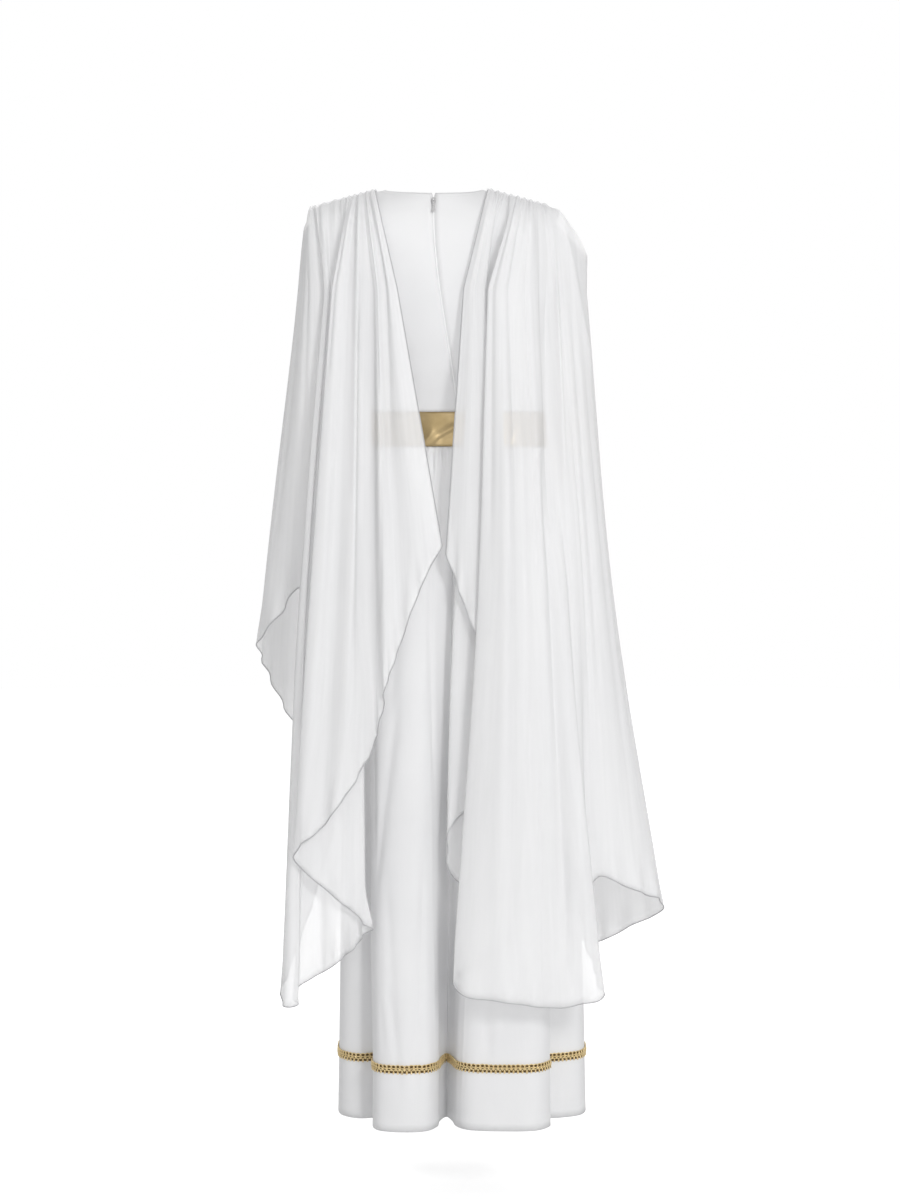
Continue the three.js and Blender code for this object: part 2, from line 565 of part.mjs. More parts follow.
// The drops at which a fold is cut into rows: even steps round the shoulder, then even steps down
function foldDrops(drape, number) {
  const middle = drape.firstFront - 0.5;
  const slit = drape.slit * (1 - smooth(Math.abs(number - middle) / drape.slitFolds));
  const start = DRAPE_EDGE_DROP + slit;
  const end = -drape.folds[number].hem;
  const roundAngle = (row) => (Math.PI / 2) * (row / DRAPE_ROUND_ROWS);
  const drops = [];
  for (let row = 0; row <= DRAPE_ROUND_ROWS; row += 1) {
    drops.push(SHOULDER_ROUND * (1 - Math.cos(roundAngle(row))));
  }
  for (let row = 1; row <= DRAPE_HANG_ROWS; row += 1) {
    drops.push(lerp(SHOULDER_ROUND, end, row / DRAPE_HANG_ROWS));
  }
  return drops.map((drop) => start + (drop * (end - start)) / end);
}

function drapeSheet(drape) {
  const guides = drape.folds.map((_, number) => {
    return foldDrops(drape, number).map((drop) => foldPoint(drape, number, drop));
  });
  const last = (drape.folds.length - 1) * DRAPE_COLUMNS;
  const rows = guides[0].map((_, row) => {
    const curve = new THREE.CatmullRomCurve3(guides.map((guide) => guide[row]), false, "centripetal");
    return Array.from({ length: last + 1 }, (_, i) => curve.getPoint(i / last));
  });
  return gridSheet(rows);
}

// The zip's slider lies on the back seam; its own frame has z up the seam and y out of the cloth
function zipFrame() {
  const reach = SLIDER.length;
  const middle = -BACK_NECK_DROP - SLIDER.drop;
  const upper = torsoPoint(90, middle + reach);
  const lower = torsoPoint(90, middle - reach);
  const frame = new THREE.Group();
  frame.position.copy(torsoPoint(90, middle));
  frame.rotation.x = Math.atan2(lower.y - upper.y, upper.z - lower.z);
  return frame;
}

// The slider: a plate with a crown, an arch across it that the pull's eye hangs in
const PLATE_FACE = DRESS_CLOTH / 2 + SEAM_GAP + SLIDER.depth;
const EYE_Y = PLATE_FACE + (CROWN.height - CROWN.bar) / 2;

function crownGeometry() {
  const foot = PLATE_FACE - SLIDER.depth / 2;
  const top = PLATE_FACE + CROWN.height;
  const end = CROWN.length / 2;
  const inner = end - CROWN.bar;
  const outline = new THREE.Shape();
  outline.moveTo(-end, foot);
  outline.lineTo(end, foot);
  outline.lineTo(end, top - CROWN.chamfer);
  outline.lineTo(end - CROWN.chamfer, top);
  outline.lineTo(-end + CROWN.chamfer, top);
  outline.lineTo(-end, top - CROWN.chamfer);
  outline.closePath();
  const window = new THREE.Path();
  window.moveTo(-inner, PLATE_FACE);
  window.lineTo(-inner, top - CROWN.bar);
  window.lineTo(inner, top - CROWN.bar);
  window.lineTo(inner, PLATE_FACE);
  window.closePath();
  outline.holes.push(window);
  const arch = new THREE.ExtrudeGeometry(outline, { depth: CROWN.width, bevelEnabled: false });
  // The outline's x runs down the seam, its y out of the cloth, and it is extruded across the seam
  const down = new THREE.Vector3(0, 0, -1);
  const out = new THREE.Vector3(0, 1, 0);
  const across = new THREE.Vector3(1, 0, 0);
  arch.applyMatrix4(new THREE.Matrix4().makeBasis(down, out, across));
  return arch.translate(-CROWN.width / 2, 0, 0);
}

// The plate is waisted like a shield: wide at the top, narrower at the bottom
function plateGeometry() {
  const half = SLIDER.width / 2;
  const end = SLIDER.length / 2;
  const outline = new THREE.Shape();
  outline.moveTo(-half + SLIDER.corner, end);
  outline.lineTo(half - SLIDER.corner, end);
  outline.lineTo(half, end - SLIDER.corner);
  outline.lineTo(half, 0);
  outline.lineTo(half * SLIDER.narrow, -end);
  outline.lineTo(-half * SLIDER.narrow, -end);
  outline.lineTo(-half, 0);
  outline.lineTo(-half, end - SLIDER.corner);
  outline.closePath();
  const plate = new THREE.ExtrudeGeometry(outline, { depth: SLIDER.depth, bevelEnabled: false });
  return plate.rotateX(Math.PI / 2).translate(0, PLATE_FACE, 0);
}

async function joined(parts) {
  const kernel = await Manifold();
  kernel.setup();
  const solids = parts.map((part) => {
    const bare = new THREE.BufferGeometry();
    bare.setAttribute("position", part.getAttribute("position"));
    bare.setIndex(part.index);
    const merged = mergeVertices(bare, 1e-4);
    const vertProperties = merged.getAttribute("position").array;
    const triVerts = new Uint32Array(merged.index.array);
    return new kernel.Manifold(new kernel.Mesh({ numProp: 3, vertProperties, triVerts }));
  });
  const mesh = kernel.Manifold.union(solids).getMesh();
  const geometry = new THREE.BufferGeometry();
  geometry.setAttribute("position", new THREE.Float32BufferAttribute(mesh.vertProperties, 3));
  geometry.setIndex([...mesh.triVerts]);
  return geometry;
}

// The pull: a flat drop with a square eye round the crown's outer bar
function pullGeometry() {
  const half = PULL.width / 2;
  const waist = half * PULL.waist;
  const top = PULL.bar / 2;
  const bottom = top - PULL.length;
  const outline = new THREE.Shape();
  outline.moveTo(-half + top, top);
  outline.lineTo(half - top, top);
  outline.lineTo(half, 0);
  outline.lineTo(half, -PULL.eyeLength);
  outline.lineTo(waist, -PULL.eyeLength - half);
  outline.lineTo(waist, bottom + PULL.drop);
  outline.absarc(0, bottom + half, half, 0, -Math.PI, true);
  outline.lineTo(-waist, bottom + PULL.drop);
  outline.lineTo(-waist, -PULL.eyeLength - half);
  outline.lineTo(-half, -PULL.eyeLength);
  outline.lineTo(-half, 0);
  outline.closePath();
  const eye = new THREE.Path();
  const side = PULL.eye / 2;
  eye.moveTo(-side, -top);
  eye.lineTo(-side, -top - PULL.eyeLength);
  eye.lineTo(side, -top - PULL.eyeLength);
  eye.lineTo(side, -top);
  eye.closePath();
  outline.holes.push(eye);
  const settings = { depth: PULL.depth, bevelEnabled: false, curveSegments: PULL_CURVE_STEPS };
  const flat = new THREE.ExtrudeGeometry(outline, settings);
  return flat.translate(0, 0, -PULL.depth / 2).rotateX(Math.PI / 2).translate(0, EYE_Y, 0);
}

const costume = new THREE.Group();
costume.add(piece("bodice_front", bodiceFront(), WHITE_DRESS));
costume.add(piece("bodice_back_left", bodiceBack(1), WHITE_DRESS));
costume.add(piece("bodice_back_right", bodiceBack(-1), WHITE_DRESS));
costume.add(piece("waistband", waistband(), GOLD_SATIN));

const skirt = skirtSheet([...UPPER_SKIRT_ROWS, ...LOWER_SKIRT_ROWS]);
const backSeam = SKIRT_BACK_SEAM * SKIRT_COLUMNS;
const rightSeam = SKIRT_RIGHT_SEAM * SKIRT_COLUMNS;
const leftSeam = SKIRT_FOLDS.length * SKIRT_COLUMNS;
costume.add(piece("skirt_back_left", skirtPanel(skirt, 0, backSeam), WHITE_DRESS));
costume.add(piece("skirt_back_right", skirtPanel(skirt, backSeam, rightSeam), WHITE_DRESS));
costume.add(piece("skirt_front", skirtPanel(skirt, rightSeam, leftSeam), WHITE_DRESS));
costume.add(piece("hem_braid", hemBraid(), GOLD_BRAID));

const zip = zipFrame();
zip.add(piece("zip_slider", await joined([plateGeometry(), crownGeometry()]), ZIP_METAL));
zip.add(piece("zip_pull", pullGeometry(), ZIP_METAL));
costume.add(zip);

for (const [name, drape] of Object.entries(DRAPES)) {
  costume.add(piece(name, drapeSheet(drape).wall(CHIFFON), WHITE_CHIFFON));
}

export default costume;
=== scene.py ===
# Roman toga costume as a hollow worn form: a long white dress with a gold waistband, a gold braid
# above the hem, a centre back zip, and two chiffon shoulder drapes.
#
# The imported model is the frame. Each piece of cloth lies on its node's own surface, worked out from
# the same sizes, and gets its creases, gathers, rolled edges, stitches and weave here.
import math
from collections import namedtuple

import bmesh
import bpy
from mathutils import Matrix, Vector, noise


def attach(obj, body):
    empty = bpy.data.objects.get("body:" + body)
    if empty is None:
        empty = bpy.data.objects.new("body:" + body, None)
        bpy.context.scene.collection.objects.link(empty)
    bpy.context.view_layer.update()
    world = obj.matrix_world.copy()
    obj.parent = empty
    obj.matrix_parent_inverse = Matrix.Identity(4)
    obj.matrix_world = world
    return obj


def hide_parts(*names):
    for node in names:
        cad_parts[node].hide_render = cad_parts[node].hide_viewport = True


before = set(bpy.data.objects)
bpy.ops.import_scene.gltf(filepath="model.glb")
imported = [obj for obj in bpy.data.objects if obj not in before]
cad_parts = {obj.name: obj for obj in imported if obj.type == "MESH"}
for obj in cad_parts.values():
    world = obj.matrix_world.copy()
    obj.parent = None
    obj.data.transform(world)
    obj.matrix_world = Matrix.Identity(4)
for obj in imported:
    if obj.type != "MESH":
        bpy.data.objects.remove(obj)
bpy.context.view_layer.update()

# Sizes are in millimetres, as a maker measures them. MM turns them into metres.
MM = 0.001

# Cloth and thread thicknesses
DRESS_CLOTH = 0.8
SATIN = 1.1
CHIFFON = 0.45
ROLLED_EDGE = 0.8
THREAD = 0.45

# Heights of the dress, down from the side neck points
BAND_TOP = -326
BAND_BOTTOM = -376
BAND_OVERLAP = 3
BAND_STANDS_OUT = 2.3
HEM = -1364
HIP = -620
BRAID_TOP = -1265
BRAID_BOTTOM = -1282

# Neckline, shoulder seams and armholes
NECK_HALF = 71
BACK_NECK_DROP = 10
FRONT_NECK_DROP = 80
SHOULDER_HALF = 185
SHOULDER_SLOPE = 0.27
UNDERARM = -205
NAPE_RISE = 26
SHOULDER_ROUND = 70
NAPE_ROUND = 130
ZIP_NOTCH = 2.5
ZIP_NOTCH_LENGTH = 9

# The worn form leans, so its waist stands to one side of the neckline
LEAN = -38
LEAN_FROM = -40
LEAN_TO = -390

# Half width and depths of the torso at each height, as an oval that is a little squared off
SQUARENESS = 2.3
TorsoRow = namedtuple("TorsoRow", "height half back front")
TORSO = [TorsoRow(*row) for row in (
    (30, 232, 100, 86),
    (0, 226, 101, 88),
    (-60, 203, 104, 96),
    (-120, 171, 105, 106),
    (-205, 141, 99, 116),
    (-260, 134, 88, 108),
    (-326, 127, 77, 86),
    (-376, 129, 79, 84),
    (-460, 145, 98, 92),
    (-620, 163, 119, 104),
)]

# The skirt's folds from the left side seam over the back and round the front: the turn where a fold
# starts at the waist, how far it stands out of the hip oval, and its place at the hem
SkirtFold = namedtuple("SkirtFold", "turn hip hem_x hem_y")
SKIRT_FOLDS = [SkirtFold(*row) for row in (
    (0, 0, 181, 0),
    (14, 2, 173, 46),
    (26, -2, 149, 66),
    (35, -6, 120, 64),
    (42, -1, 127, 104),
    (50, 5, 116, 141),
    (62, 8, 82, 153),
    (73, 5, 48, 146),
    (79, -2, 33, 118),
    (83, -10, 30, 84),
    (87, -16, 20, 58),
    (91, -10, 11, 84),
    (95, -2, 5, 116),
    (101, 3, -10, 137),
    (113, 7, -60, 147),
    (125, 4, -111, 142),
    (134, -2, -132, 112),
    (142, -6, -127, 72),
    (153, -2, -150, 62),
    (166, 2, -178, 44),
    (180, 0, -189, 0),
    (195, 3, -177, -50),
    (210, -3, -140, -78),
    (226, 4, -112, -118),
    (241, -4, -72, -110),
    (256, 4, -34, -142),
    (270, -4, 2, -122),
    (284, 4, 38, -144),
    (299, -4, 76, -108),
    (314, 4, 114, -116),
    (330, -3, 140, -76),
    (345, 3, 176, -50),
)]
SKIRT_BACK_SEAM = 10
SKIRT_RIGHT_SEAM = 20
SKIRT_TOP = BAND_BOTTOM + BAND_OVERLAP
SKIRT_TUCK = -0.75
WAIST_GATHER = 3
WAIST_GATHER_START = 12
WAIST_GATHER_LENGTH = 95
GATHER_EVERY = 11
GATHER_DRIFT = 260
UNEVEN_LENGTH = 1.2
UNEVEN_PLACE = 0.45
UNEVEN_HEIGHT = 0.6

# A drape's folds from its free edge on the back, round the side, to its free edge at the front: x
# outwards and y back at the heights BLADE, HIP and SHIN, and the height where the cloth ends
DrapeFold = namedtuple("DrapeFold", "blade_x blade_y hip_x hip_y shin_x shin_y hem")
BLADE = -150
SHIN = -1150
LEFT_FOLDS = [DrapeFold(*row) for row in (
    (52, 110, -28, 150, -95, 175, -517),
    (63, 116, 14, 158, -32, 180, -575),
    (73, 110, 49, 149, 20, 172, -655),
    (81, 115, 69, 157, 45, 178, -705),
    (88, 109, 88, 142, 76, 165, -795),
    (108, 119, 116, 164, 150, 184, -876),
    (124, 109, 142, 151, 185, 178, -918),
    (137, 113, 164, 160, 210, 178, -936),
    (146, 107, 179, 151, 211, 163, -955),
    (134, 101, 145, 141, 148, 158, -1006),
    (119, 98, 106, 137, 98, 154, -1048),
    (120, 91, 107, 127, 99, 141, -1066),
    (134, 90, 143, 122, 138, 143, -1104),
    (142, 87, 165, 120, 172, 132, -1124),
    (148, 88, 181, 123, 200, 134, -1140),
    (152, 92, 185, 132, 193, 147, -1156),
    (157, 89, 193, 128, 210, 148, -1158),
    (157, 84, 194, 115, 220, 130, -1150),
    (149, 81, 160, 105, 190, 108, -1040),
    (150, 74, 136, 96, 152, 98, -880),
    (167, 76, 161, 80, 190, 80, -665),
    (182, 70, 199, 68, 236, 70, -555),
    (191, 53, 226, 52, 268, 55, -596),
    (199, 22, 251, 24, 308, 30, -626),
    (201, -12, 255, -14, 307, -15, -648),
    (193, -52, 238, -54, 266, -70, -702),
    (180, -80, 218, -90, 228, -110, -757),
    (160, -96, 186, -112, 194, -128, -815),
    (143, -106, 168, -140, 172, -166, -890),
    (126, -110, 134, -132, 132, -152, -940),
    (112, -124, 110, -152, 100, -176, -890),
    (98, -120, 80, -138, 62, -158, -770),
    (84, -128, 52, -152, 24, -172, -640),
    (70, -124, 22, -144, -14, -160, -530),
)]
RIGHT_FOLDS = [DrapeFold(*row) for row in (
    (43, 114, 13, 143, -10, 160, -530),
    (56, 119, 48, 152, 50, 168, -612),
    (73, 116, 86, 147, 100, 164, -725),
    (74, 110, 87, 137, 98, 154, -850),
    (58, 108, 33, 134, 20, 151, -918),
    (59, 102, 34, 125, 22, 140, -985),
    (92, 106, 106, 132, 118, 150, -1040),
    (91, 119, 101, 152, 104, 172, -1075),
    (78, 126, 62, 162, 26, 183, -1130),
    (88, 131, 80, 173, 48, 198, -1146),
    (101, 129, 103, 175, 90, 205, -1150),
    (113, 120, 124, 163, 132, 198, -1156),
    (126, 115, 142, 160, 160, 188, -1160),
    (138, 110, 160, 157, 184, 180, -1160),
    (150, 98, 176, 147, 208, 181, -1154),
    (163, 82, 192, 137, 241, 173, -1144),
    (172, 76, 203, 125, 231, 147, -1105),
    (180, 72, 214, 112, 214, 118, -1020),
    (190, 68, 226, 104, 246, 112, -976),
    (203, 56, 242, 88, 284, 100, -988),
    (216, 36, 260, 60, 324, 72, -1005),
    (225, 12, 268, 24, 354, 30, -1020),
    (224, -14, 266, -16, 348, -20, -1046),
    (212, -40, 252, -54, 304, -66, -1075),
    (194, -62, 232, -84, 262, -104, -1106),
    (178, -84, 208, -112, 232, -142, -1120),
    (160, -98, 184, -118, 202, -140, -1090),
    (143, -116, 160, -142, 172, -172, -1020),
    (126, -118, 134, -136, 132, -158, -905),
    (110, -128, 106, -152, 90, -172, -780),
    (92, -124, 78, -142, 56, -158, -650),
    (74, -128, 50, -148, 24, -162, -530),
)]
Drape = namedtuple("Drape", "side folds first_front inner outer rise arm_round slit slit_folds")
DRAPES = {
    "drape_left": Drape(1, LEFT_FOLDS, 24, 86, 184, 2.9, 0.25, 34, 2.6),
    "drape_right": Drape(-1, RIGHT_FOLDS, 22, 80, 181, 2.4, 1, 72, 3.2),
}
DRAPE_EDGE_DROP = 0.25
SHOULDER_GATHER = 2
SHOULDER_GATHER_LENGTH = 110
ARM_FROM = 150
DRAPE_ROUND_ROWS = 5
DRAPE_HANG_ROWS = 10


# Small helpers for numbers
def lerp(a, b, t):
    return a + (b - a) * t


def clamp01(t):
    return min(1.0, max(0.0, t))


def smooth(t):
    t = clamp01(t)
    return t * t * (3 - 2 * t)


def sign(value):
    return (value > 0) - (value < 0)


def read_at(heights, values, z):
    """A smooth curve through a table's values, read at a height between its rows."""
    last = len(heights) - 1
    i = 0
    while i < last - 1 and z < heights[i + 1]:
        i += 1

    def slope(a, b):
        return (values[b] - values[a]) / (heights[b] - heights[a])

    span = heights[i + 1] - heights[i]
    start_slope = slope(i - 1, i + 1) if i > 0 else slope(i, i + 1)
    end_slope = slope(i, i + 2) if i < last - 1 else slope(i, i + 1)
    t = (z - heights[i]) / span
    t2 = t * t
    t3 = t2 * t
    return (
        (2 * t3 - 3 * t2 + 1) * values[i]
        + (t3 - 2 * t2 + t) * span * start_slope
        + (3 * t2 - 2 * t3) * values[i + 1]
        + (t3 - t2) * span * end_slope
    )


def spline(points, per_span, closed):
    """Points along a smooth centripetal curve through a row of points."""
    count = len(points)
    result = []
    for i in range(count if closed else count - 1):
        start = points[i]
        end = points[(i + 1) % count]
        before = points[i - 1] if closed or i > 0 else 2 * start - end
        after = points[(i + 2) % count] if closed or i + 2 < count else 2 * end - start
        step0 = math.sqrt((start - before).length)
        step1 = math.sqrt((end - start).length)
        step2 = math.sqrt((after - end).length)
        lead = (start - before) / step0 - (end - before) / (step0 + step1) + (end - start) / step1
        tail = (end - start) / step1 - (after - start) / (step1 + step2) + (after - end) / step2
        lead *= step1
        tail *= step1
        bend = 3 * (end - start) - 2 * lead - tail
        twist = 2 * (start - end) + lead + tail
        for k in range(per_span):
            t = k / per_span
            result.append(start + t * (lead + t * (bend + t * twist)))
    if not closed:
        result.append(points[-1].copy())
    return result


def spread_between(values, per_span):
    """Values between neighbours in a row, in straight steps."""
    result = []
    for a, b in zip(values, values[1:]):
        result += [lerp(a, b, k / per_span) for k in range(per_span)]
    return result + [values[-1]]


def uneven(x, y=0.0, z=0.0):
    """Soft noise from -1 to 1, the same in every run."""
    return noise.noise(Vector((x + 17.3, y - 5.1, z + 3.7)))


# Surfaces that the cloth lies on
torso_heights = [row.height for row in TORSO]
torso_columns = {key: [getattr(row, key) for row in TORSO] for key in ("half", "back", "front")}


def torso_at(key, z):
    return read_at(torso_heights, torso_columns[key], z)


def lean(z):
    return LEAN * smooth((z - LEAN_FROM) / (LEAN_TO - LEAN_FROM))


def ridge(x):
    """The top line of the dress's shoulders, which rises over the width of the neckline."""
    out = abs(x) - NECK_HALF
    return -SHOULDER_SLOPE * out if out > 0 else NAPE_RISE * smooth(-out / NECK_HALF)


def rounding(x, drop):
    """How much of its full depth the torso has at a drop below that line."""
    reach = lerp(NAPE_ROUND, SHOULDER_ROUND, smooth(abs(x) / NECK_HALF))
    left = 1 - clamp01(drop / reach)
    return math.sqrt(1 - left * left)


def torso_point(turn, z, out=0.0):
    """A point on the torso at a turn from the left side seam, over the back, and a height."""
    c = math.cos(math.radians(turn))
    s = math.sin(math.radians(turn))
    half = torso_at("half", z) + out
    depth = torso_at("back" if s > 0 else "front", z) + out
    x = lean(z) + half * sign(c) * abs(c) ** (2 / SQUARENESS)
    y = depth * sign(s) * abs(s) ** (2 / SQUARENESS)
    return Vector((x, y * rounding(x, ridge(x) + out - z), z))


def turn_at(distance, z):
    """The turn at which the torso's left half has a given distance from its centre line."""
    share = clamp01(distance / torso_at("half", z))
    return math.degrees(math.acos(share ** (SQUARENESS / 2)))


BODICE_ROWS = 14
NECK_ROWS = 4
ARMHOLE_ROWS = 9
ARMHOLE_START = 1.3


def bodice_border(row, is_back):
    """Where a row of the bodice starts, on centre or neckline, and ends, on side or armhole."""
    neck_drop = BACK_NECK_DROP if is_back else FRONT_NECK_DROP
    bottom = BAND_TOP - BAND_OVERLAP
    neck = clamp01((row - BODICE_ROWS + NECK_ROWS) / NECK_ROWS) * math.pi / 2
    arm = clamp01((row - BODICE_ROWS + ARMHOLE_ROWS) / ARMHOLE_ROWS) * math.pi / 2
    neck_row = BODICE_ROWS - NECK_ROWS
    notch_bottom = -neck_drop - ZIP_NOTCH_LENGTH
    if row > neck_row:
        neck_z = -neck_drop * math.cos(neck)
    elif row > neck_row - 1:
        neck_z = lerp(notch_bottom, -neck_drop, row - neck_row + 1)
    else:
        neck_z = lerp(bottom, notch_bottom, row / (neck_row - 1))
    neck_turn = turn_at(NECK_HALF * math.sin(neck), neck_z)
    top = ridge(SHOULDER_HALF)
    climb = clamp01(row / (BODICE_ROWS - ARMHOLE_ROWS))
    arm_z = lerp(bottom, UNDERARM, climb) + (top - UNDERARM) * (1 - math.cos(arm))
    arm_turn = turn_at(SHOULDER_HALF, top) * math.sin(arm) ** ARMHOLE_START
    return neck_turn, neck_z, arm_turn, arm_z


def bodice_point(row, share, side, is_back):
    """A point of half a bodice, share of the way from its centre line to its side."""
    neck_turn, neck_z, arm_turn, arm_z = bodice_border(row, is_back)
    turn = lerp(neck_turn, arm_turn, share)
    facing = turn if is_back else -turn
    point = torso_point(facing if side > 0 else 180 - facing, lerp(neck_z, arm_z, share))
    if is_back and share == 0:
        on_centre = row <= BODICE_ROWS - NECK_ROWS
        parted = clamp01(1 - (-BACK_NECK_DROP - neck_z) / ZIP_NOTCH_LENGTH) if on_centre else 0
        point.x += side * ZIP_NOTCH * parted
    return point


def arcs_along(points):
    """How far along a row of points each one lies."""
    arcs = [0.0]
    for a, b in zip(points, points[1:]):
        arcs.append(arcs[-1] + (b - a).length)
    return arcs


def ways_out(ring):
    """The level way out of the cloth at each point of a ring."""
    count = len(ring)
    runs = [(ring[(i + 1) % count] - ring[i - 1]).normalized() for i in range(count)]
    return [Vector((run.y, -run.x, 0)) for run in runs]


def skirt_ring(z, per_fold):
    """The whole ring of skirt points at one height, with its uneven gathers below the waist."""
    heights = (SKIRT_TOP, HIP, HEM)
    guides = []
    turns = []
    for fold in SKIRT_FOLDS:
        waist = torso_point(fold.turn, SKIRT_TOP, SKIRT_TUCK)
        hip = torso_point(fold.turn, HIP, fold.hip)
        x = read_at(heights, (waist.x, hip.x, LEAN + fold.hem_x), z)
        y = read_at(heights, (waist.y, hip.y, fold.hem_y), z)
        guides.append(Vector((x, y, z)))
        turns.append(fold.turn)
    ring = spline(guides, per_fold, True)
    waist_turns = spread_between(turns + [360], per_fold)
    waist = arcs_along([torso_point(turn, SKIRT_TOP, SKIRT_TUCK) for turn in waist_turns])
    drop = SKIRT_TOP - z
    result = []
    for i, (point, out) in enumerate(zip(ring, ways_out(ring))):
        arc = waist[i] / GATHER_EVERY
        length = WAIST_GATHER_LENGTH * (1 + UNEVEN_LENGTH * uneven(arc * 0.45))
        fade = smooth(drop / WAIST_GATHER_START) * (1 - smooth(drop / length))
        place = arc + drop / GATHER_DRIFT + UNEVEN_PLACE * uneven(arc * 0.35, 9)
        wave = math.sin(2 * math.pi * place)
        height = WAIST_GATHER * (0.7 + UNEVEN_HEIGHT * uneven(arc * 0.6, 4))
        result.append(point + out * height * fade * wave)
    return result


# Behind the left shoulder the outer folds start near its tip and slant in from there. These are
# shares of the way along the seam: where that starts, its last fold, and where that is sewn in
SLANT_FROM = 0.52
SLANT_TO = 0.717
SLANT_REACH = 0.9


def sewn_at(share, slanting):
    """The place along the shoulder seam where a fold is sewn in, from its share of the folds."""
    if not slanting or share < SLANT_FROM:
        return share
    if share < SLANT_TO:
        return lerp(SLANT_FROM, SLANT_REACH, (share - SLANT_FROM) / (SLANT_TO - SLANT_FROM))
    return lerp(SLANT_REACH, 1, (share - SLANT_TO) / (1 - SLANT_TO))


def fold_point(drape, number, drop):
    """Where one fold of a drape runs, at a drop below the shoulder line."""
    fold = drape.folds[number]
    behind = number < drape.first_front
    inner_fold = 0 if behind else len(drape.folds) - 1
    outer_fold = drape.first_front - 1 if behind else drape.first_front
    share = sewn_at((number - inner_fold) / (outer_fold - inner_fold), behind and drape.side > 0)
    seam_x = lerp(drape.inner, drape.outer, share)
    top = ridge(seam_x) + drape.rise
    z = top - drop
    below = min(z, BLADE)
    heights = (BLADE, HIP, SHIN)
    x = read_at(heights, (fold.blade_x, fold.hip_x, fold.shin_x), below)
    y = read_at(heights, (fold.blade_y, fold.hip_y, fold.shin_y), below)
    left = 1 - clamp01(drop / SHOULDER_ROUND)
    bow = math.sqrt(1 - left * left)
    straight = clamp01(drop / (top - BLADE))
    over_arm = drape.arm_round * clamp01((seam_x - ARM_FROM) / (drape.outer - ARM_FROM))
    gather = SHOULDER_GATHER * (1 - smooth(drop / SHOULDER_GATHER_LENGTH))
    ripple = gather if number % 2 else -gather
    out_x = lerp(seam_x, x, lerp(straight, bow, over_arm))
    out_y = y * bow + ripple * bow * sign(y)
    return Vector((drape.side * out_x, out_y, z + (ripple + gather) * (1 - bow)))


def fold_drop(drape, number, row):
    """How far down a fold a row lies: even steps round the shoulder, then even steps down."""
    middle = drape.first_front - 0.5
    slit = drape.slit * (1 - smooth(abs(number - middle) / drape.slit_folds))
    start = DRAPE_EDGE_DROP + slit
    end = -drape.folds[number].hem
    if row <= DRAPE_ROUND_ROWS:
        drop = SHOULDER_ROUND * (1 - math.cos(math.pi / 2 * row / DRAPE_ROUND_ROWS))
    else:
        drop = lerp(SHOULDER_ROUND, end, (row - DRAPE_ROUND_ROWS) / DRAPE_HANG_ROWS)
    return start + drop * (end - start) / end


# Creases: each runs from one place to another, across and down the cloth, and is pressed in by its
# depth, or raised by it where that is negative. It fades out at its ends, over one part in
# CREASE_FADE of its length, and its sides reach CREASE_REACH of its widths
Crease = namedtuple("Crease", "across down to_across to_down width depth")
CREASE_FADE = 4
CREASE_REACH = 3
CREASE_SHARPNESS = 1.6


def crease_relief(creases, across, down, pitch=1.0):
    """How far the creases move the cloth at a place. pitch is the length of one step across."""
    relief = 0.0
    for crease in creases:
        run = (crease.to_across - crease.across) * pitch
        fall = crease.to_down - crease.down
        length = math.hypot(run, fall)
        from_x = (across - crease.across) * pitch
        from_y = down - crease.down
        along = (from_x * run + from_y * fall) / length / length
        if along < 0 or along > 1:
            continue
        off = (from_x * fall - from_y * run) / length / crease.width
        if abs(off) < CREASE_REACH:
            press = crease.depth * math.exp(-abs(off) ** CREASE_SHARPNESS)
            relief -= press * smooth(along * CREASE_FADE) * smooth((1 - along) * CREASE_FADE)
    return relief


# Sheets of cloth as grids of points. Two points closer than JOINED are one. A sheet's right side
# faces away from an upright line, through the neckline or through the waist
JOINED = 0.02
NECK_MIDDLE = Vector((0, 0, 0))
WAIST_MIDDLE = Vector((LEAN, 0, 0))


def lay_grid(bm, points, flats):
    """Adds a grid to a bmesh, with each point's place on the form and in the flat cloth."""
    rows = len(points) - 1
    columns = len(points[0]) - 1
    made = bmesh.ops.create_grid(bm, x_segments=columns, y_segments=rows, size=0.5)["verts"]
    table = [[None] * (columns + 1) for _ in points]
    for vert in made:
        table[round((0.5 - vert.co.y) * rows)][round((vert.co.x + 0.5) * columns)] = vert
    uv = bm.loops.layers.uv.verify()
    for row, verts in enumerate(table):
        for column, vert in enumerate(verts):
            vert.co = points[row][column] * MM
            for loop in vert.link_loops:
                loop[uv].uv = Vector(flats[row][column]) * MM
    return table


def face_outwards(bm, middle):
    """Turns the cloth's right side away from an upright line."""
    bmesh.ops.recalc_face_normals(bm, faces=bm.faces)
    centre = middle * MM
    outwards = 0.0
    for face in bm.faces:
        away = face.calc_center_median() - centre
        away.z = 0
        outwards += face.normal.dot(away) * face.calc_area()
    if outwards < 0:
        bmesh.ops.reverse_faces(bm, faces=bm.faces)


def join_and_face_outwards(bm, middle):
    """Joins sheets where their edges meet, and turns their right side out."""
    bmesh.ops.remove_doubles(bm, verts=bm.verts, dist=JOINED * MM)
    face_outwards(bm, middle)


def move_out(bm, reliefs):
    """Moves each point along the cloth's normal by the relief given with it."""
    bm.normal_update()
    moves = [(vert, vert.normal * relief * MM) for vert, relief in reliefs]
    for vert, move in moves:
        vert.co += move


def emboss(bm, table, relief):
    """Moves each point of a grid along the cloth's normal by relief(row, column)."""
    lines = enumerate(table)
    move_out(bm, [(vert, relief(row, i)) for row, line in lines for i, vert in enumerate(line)])


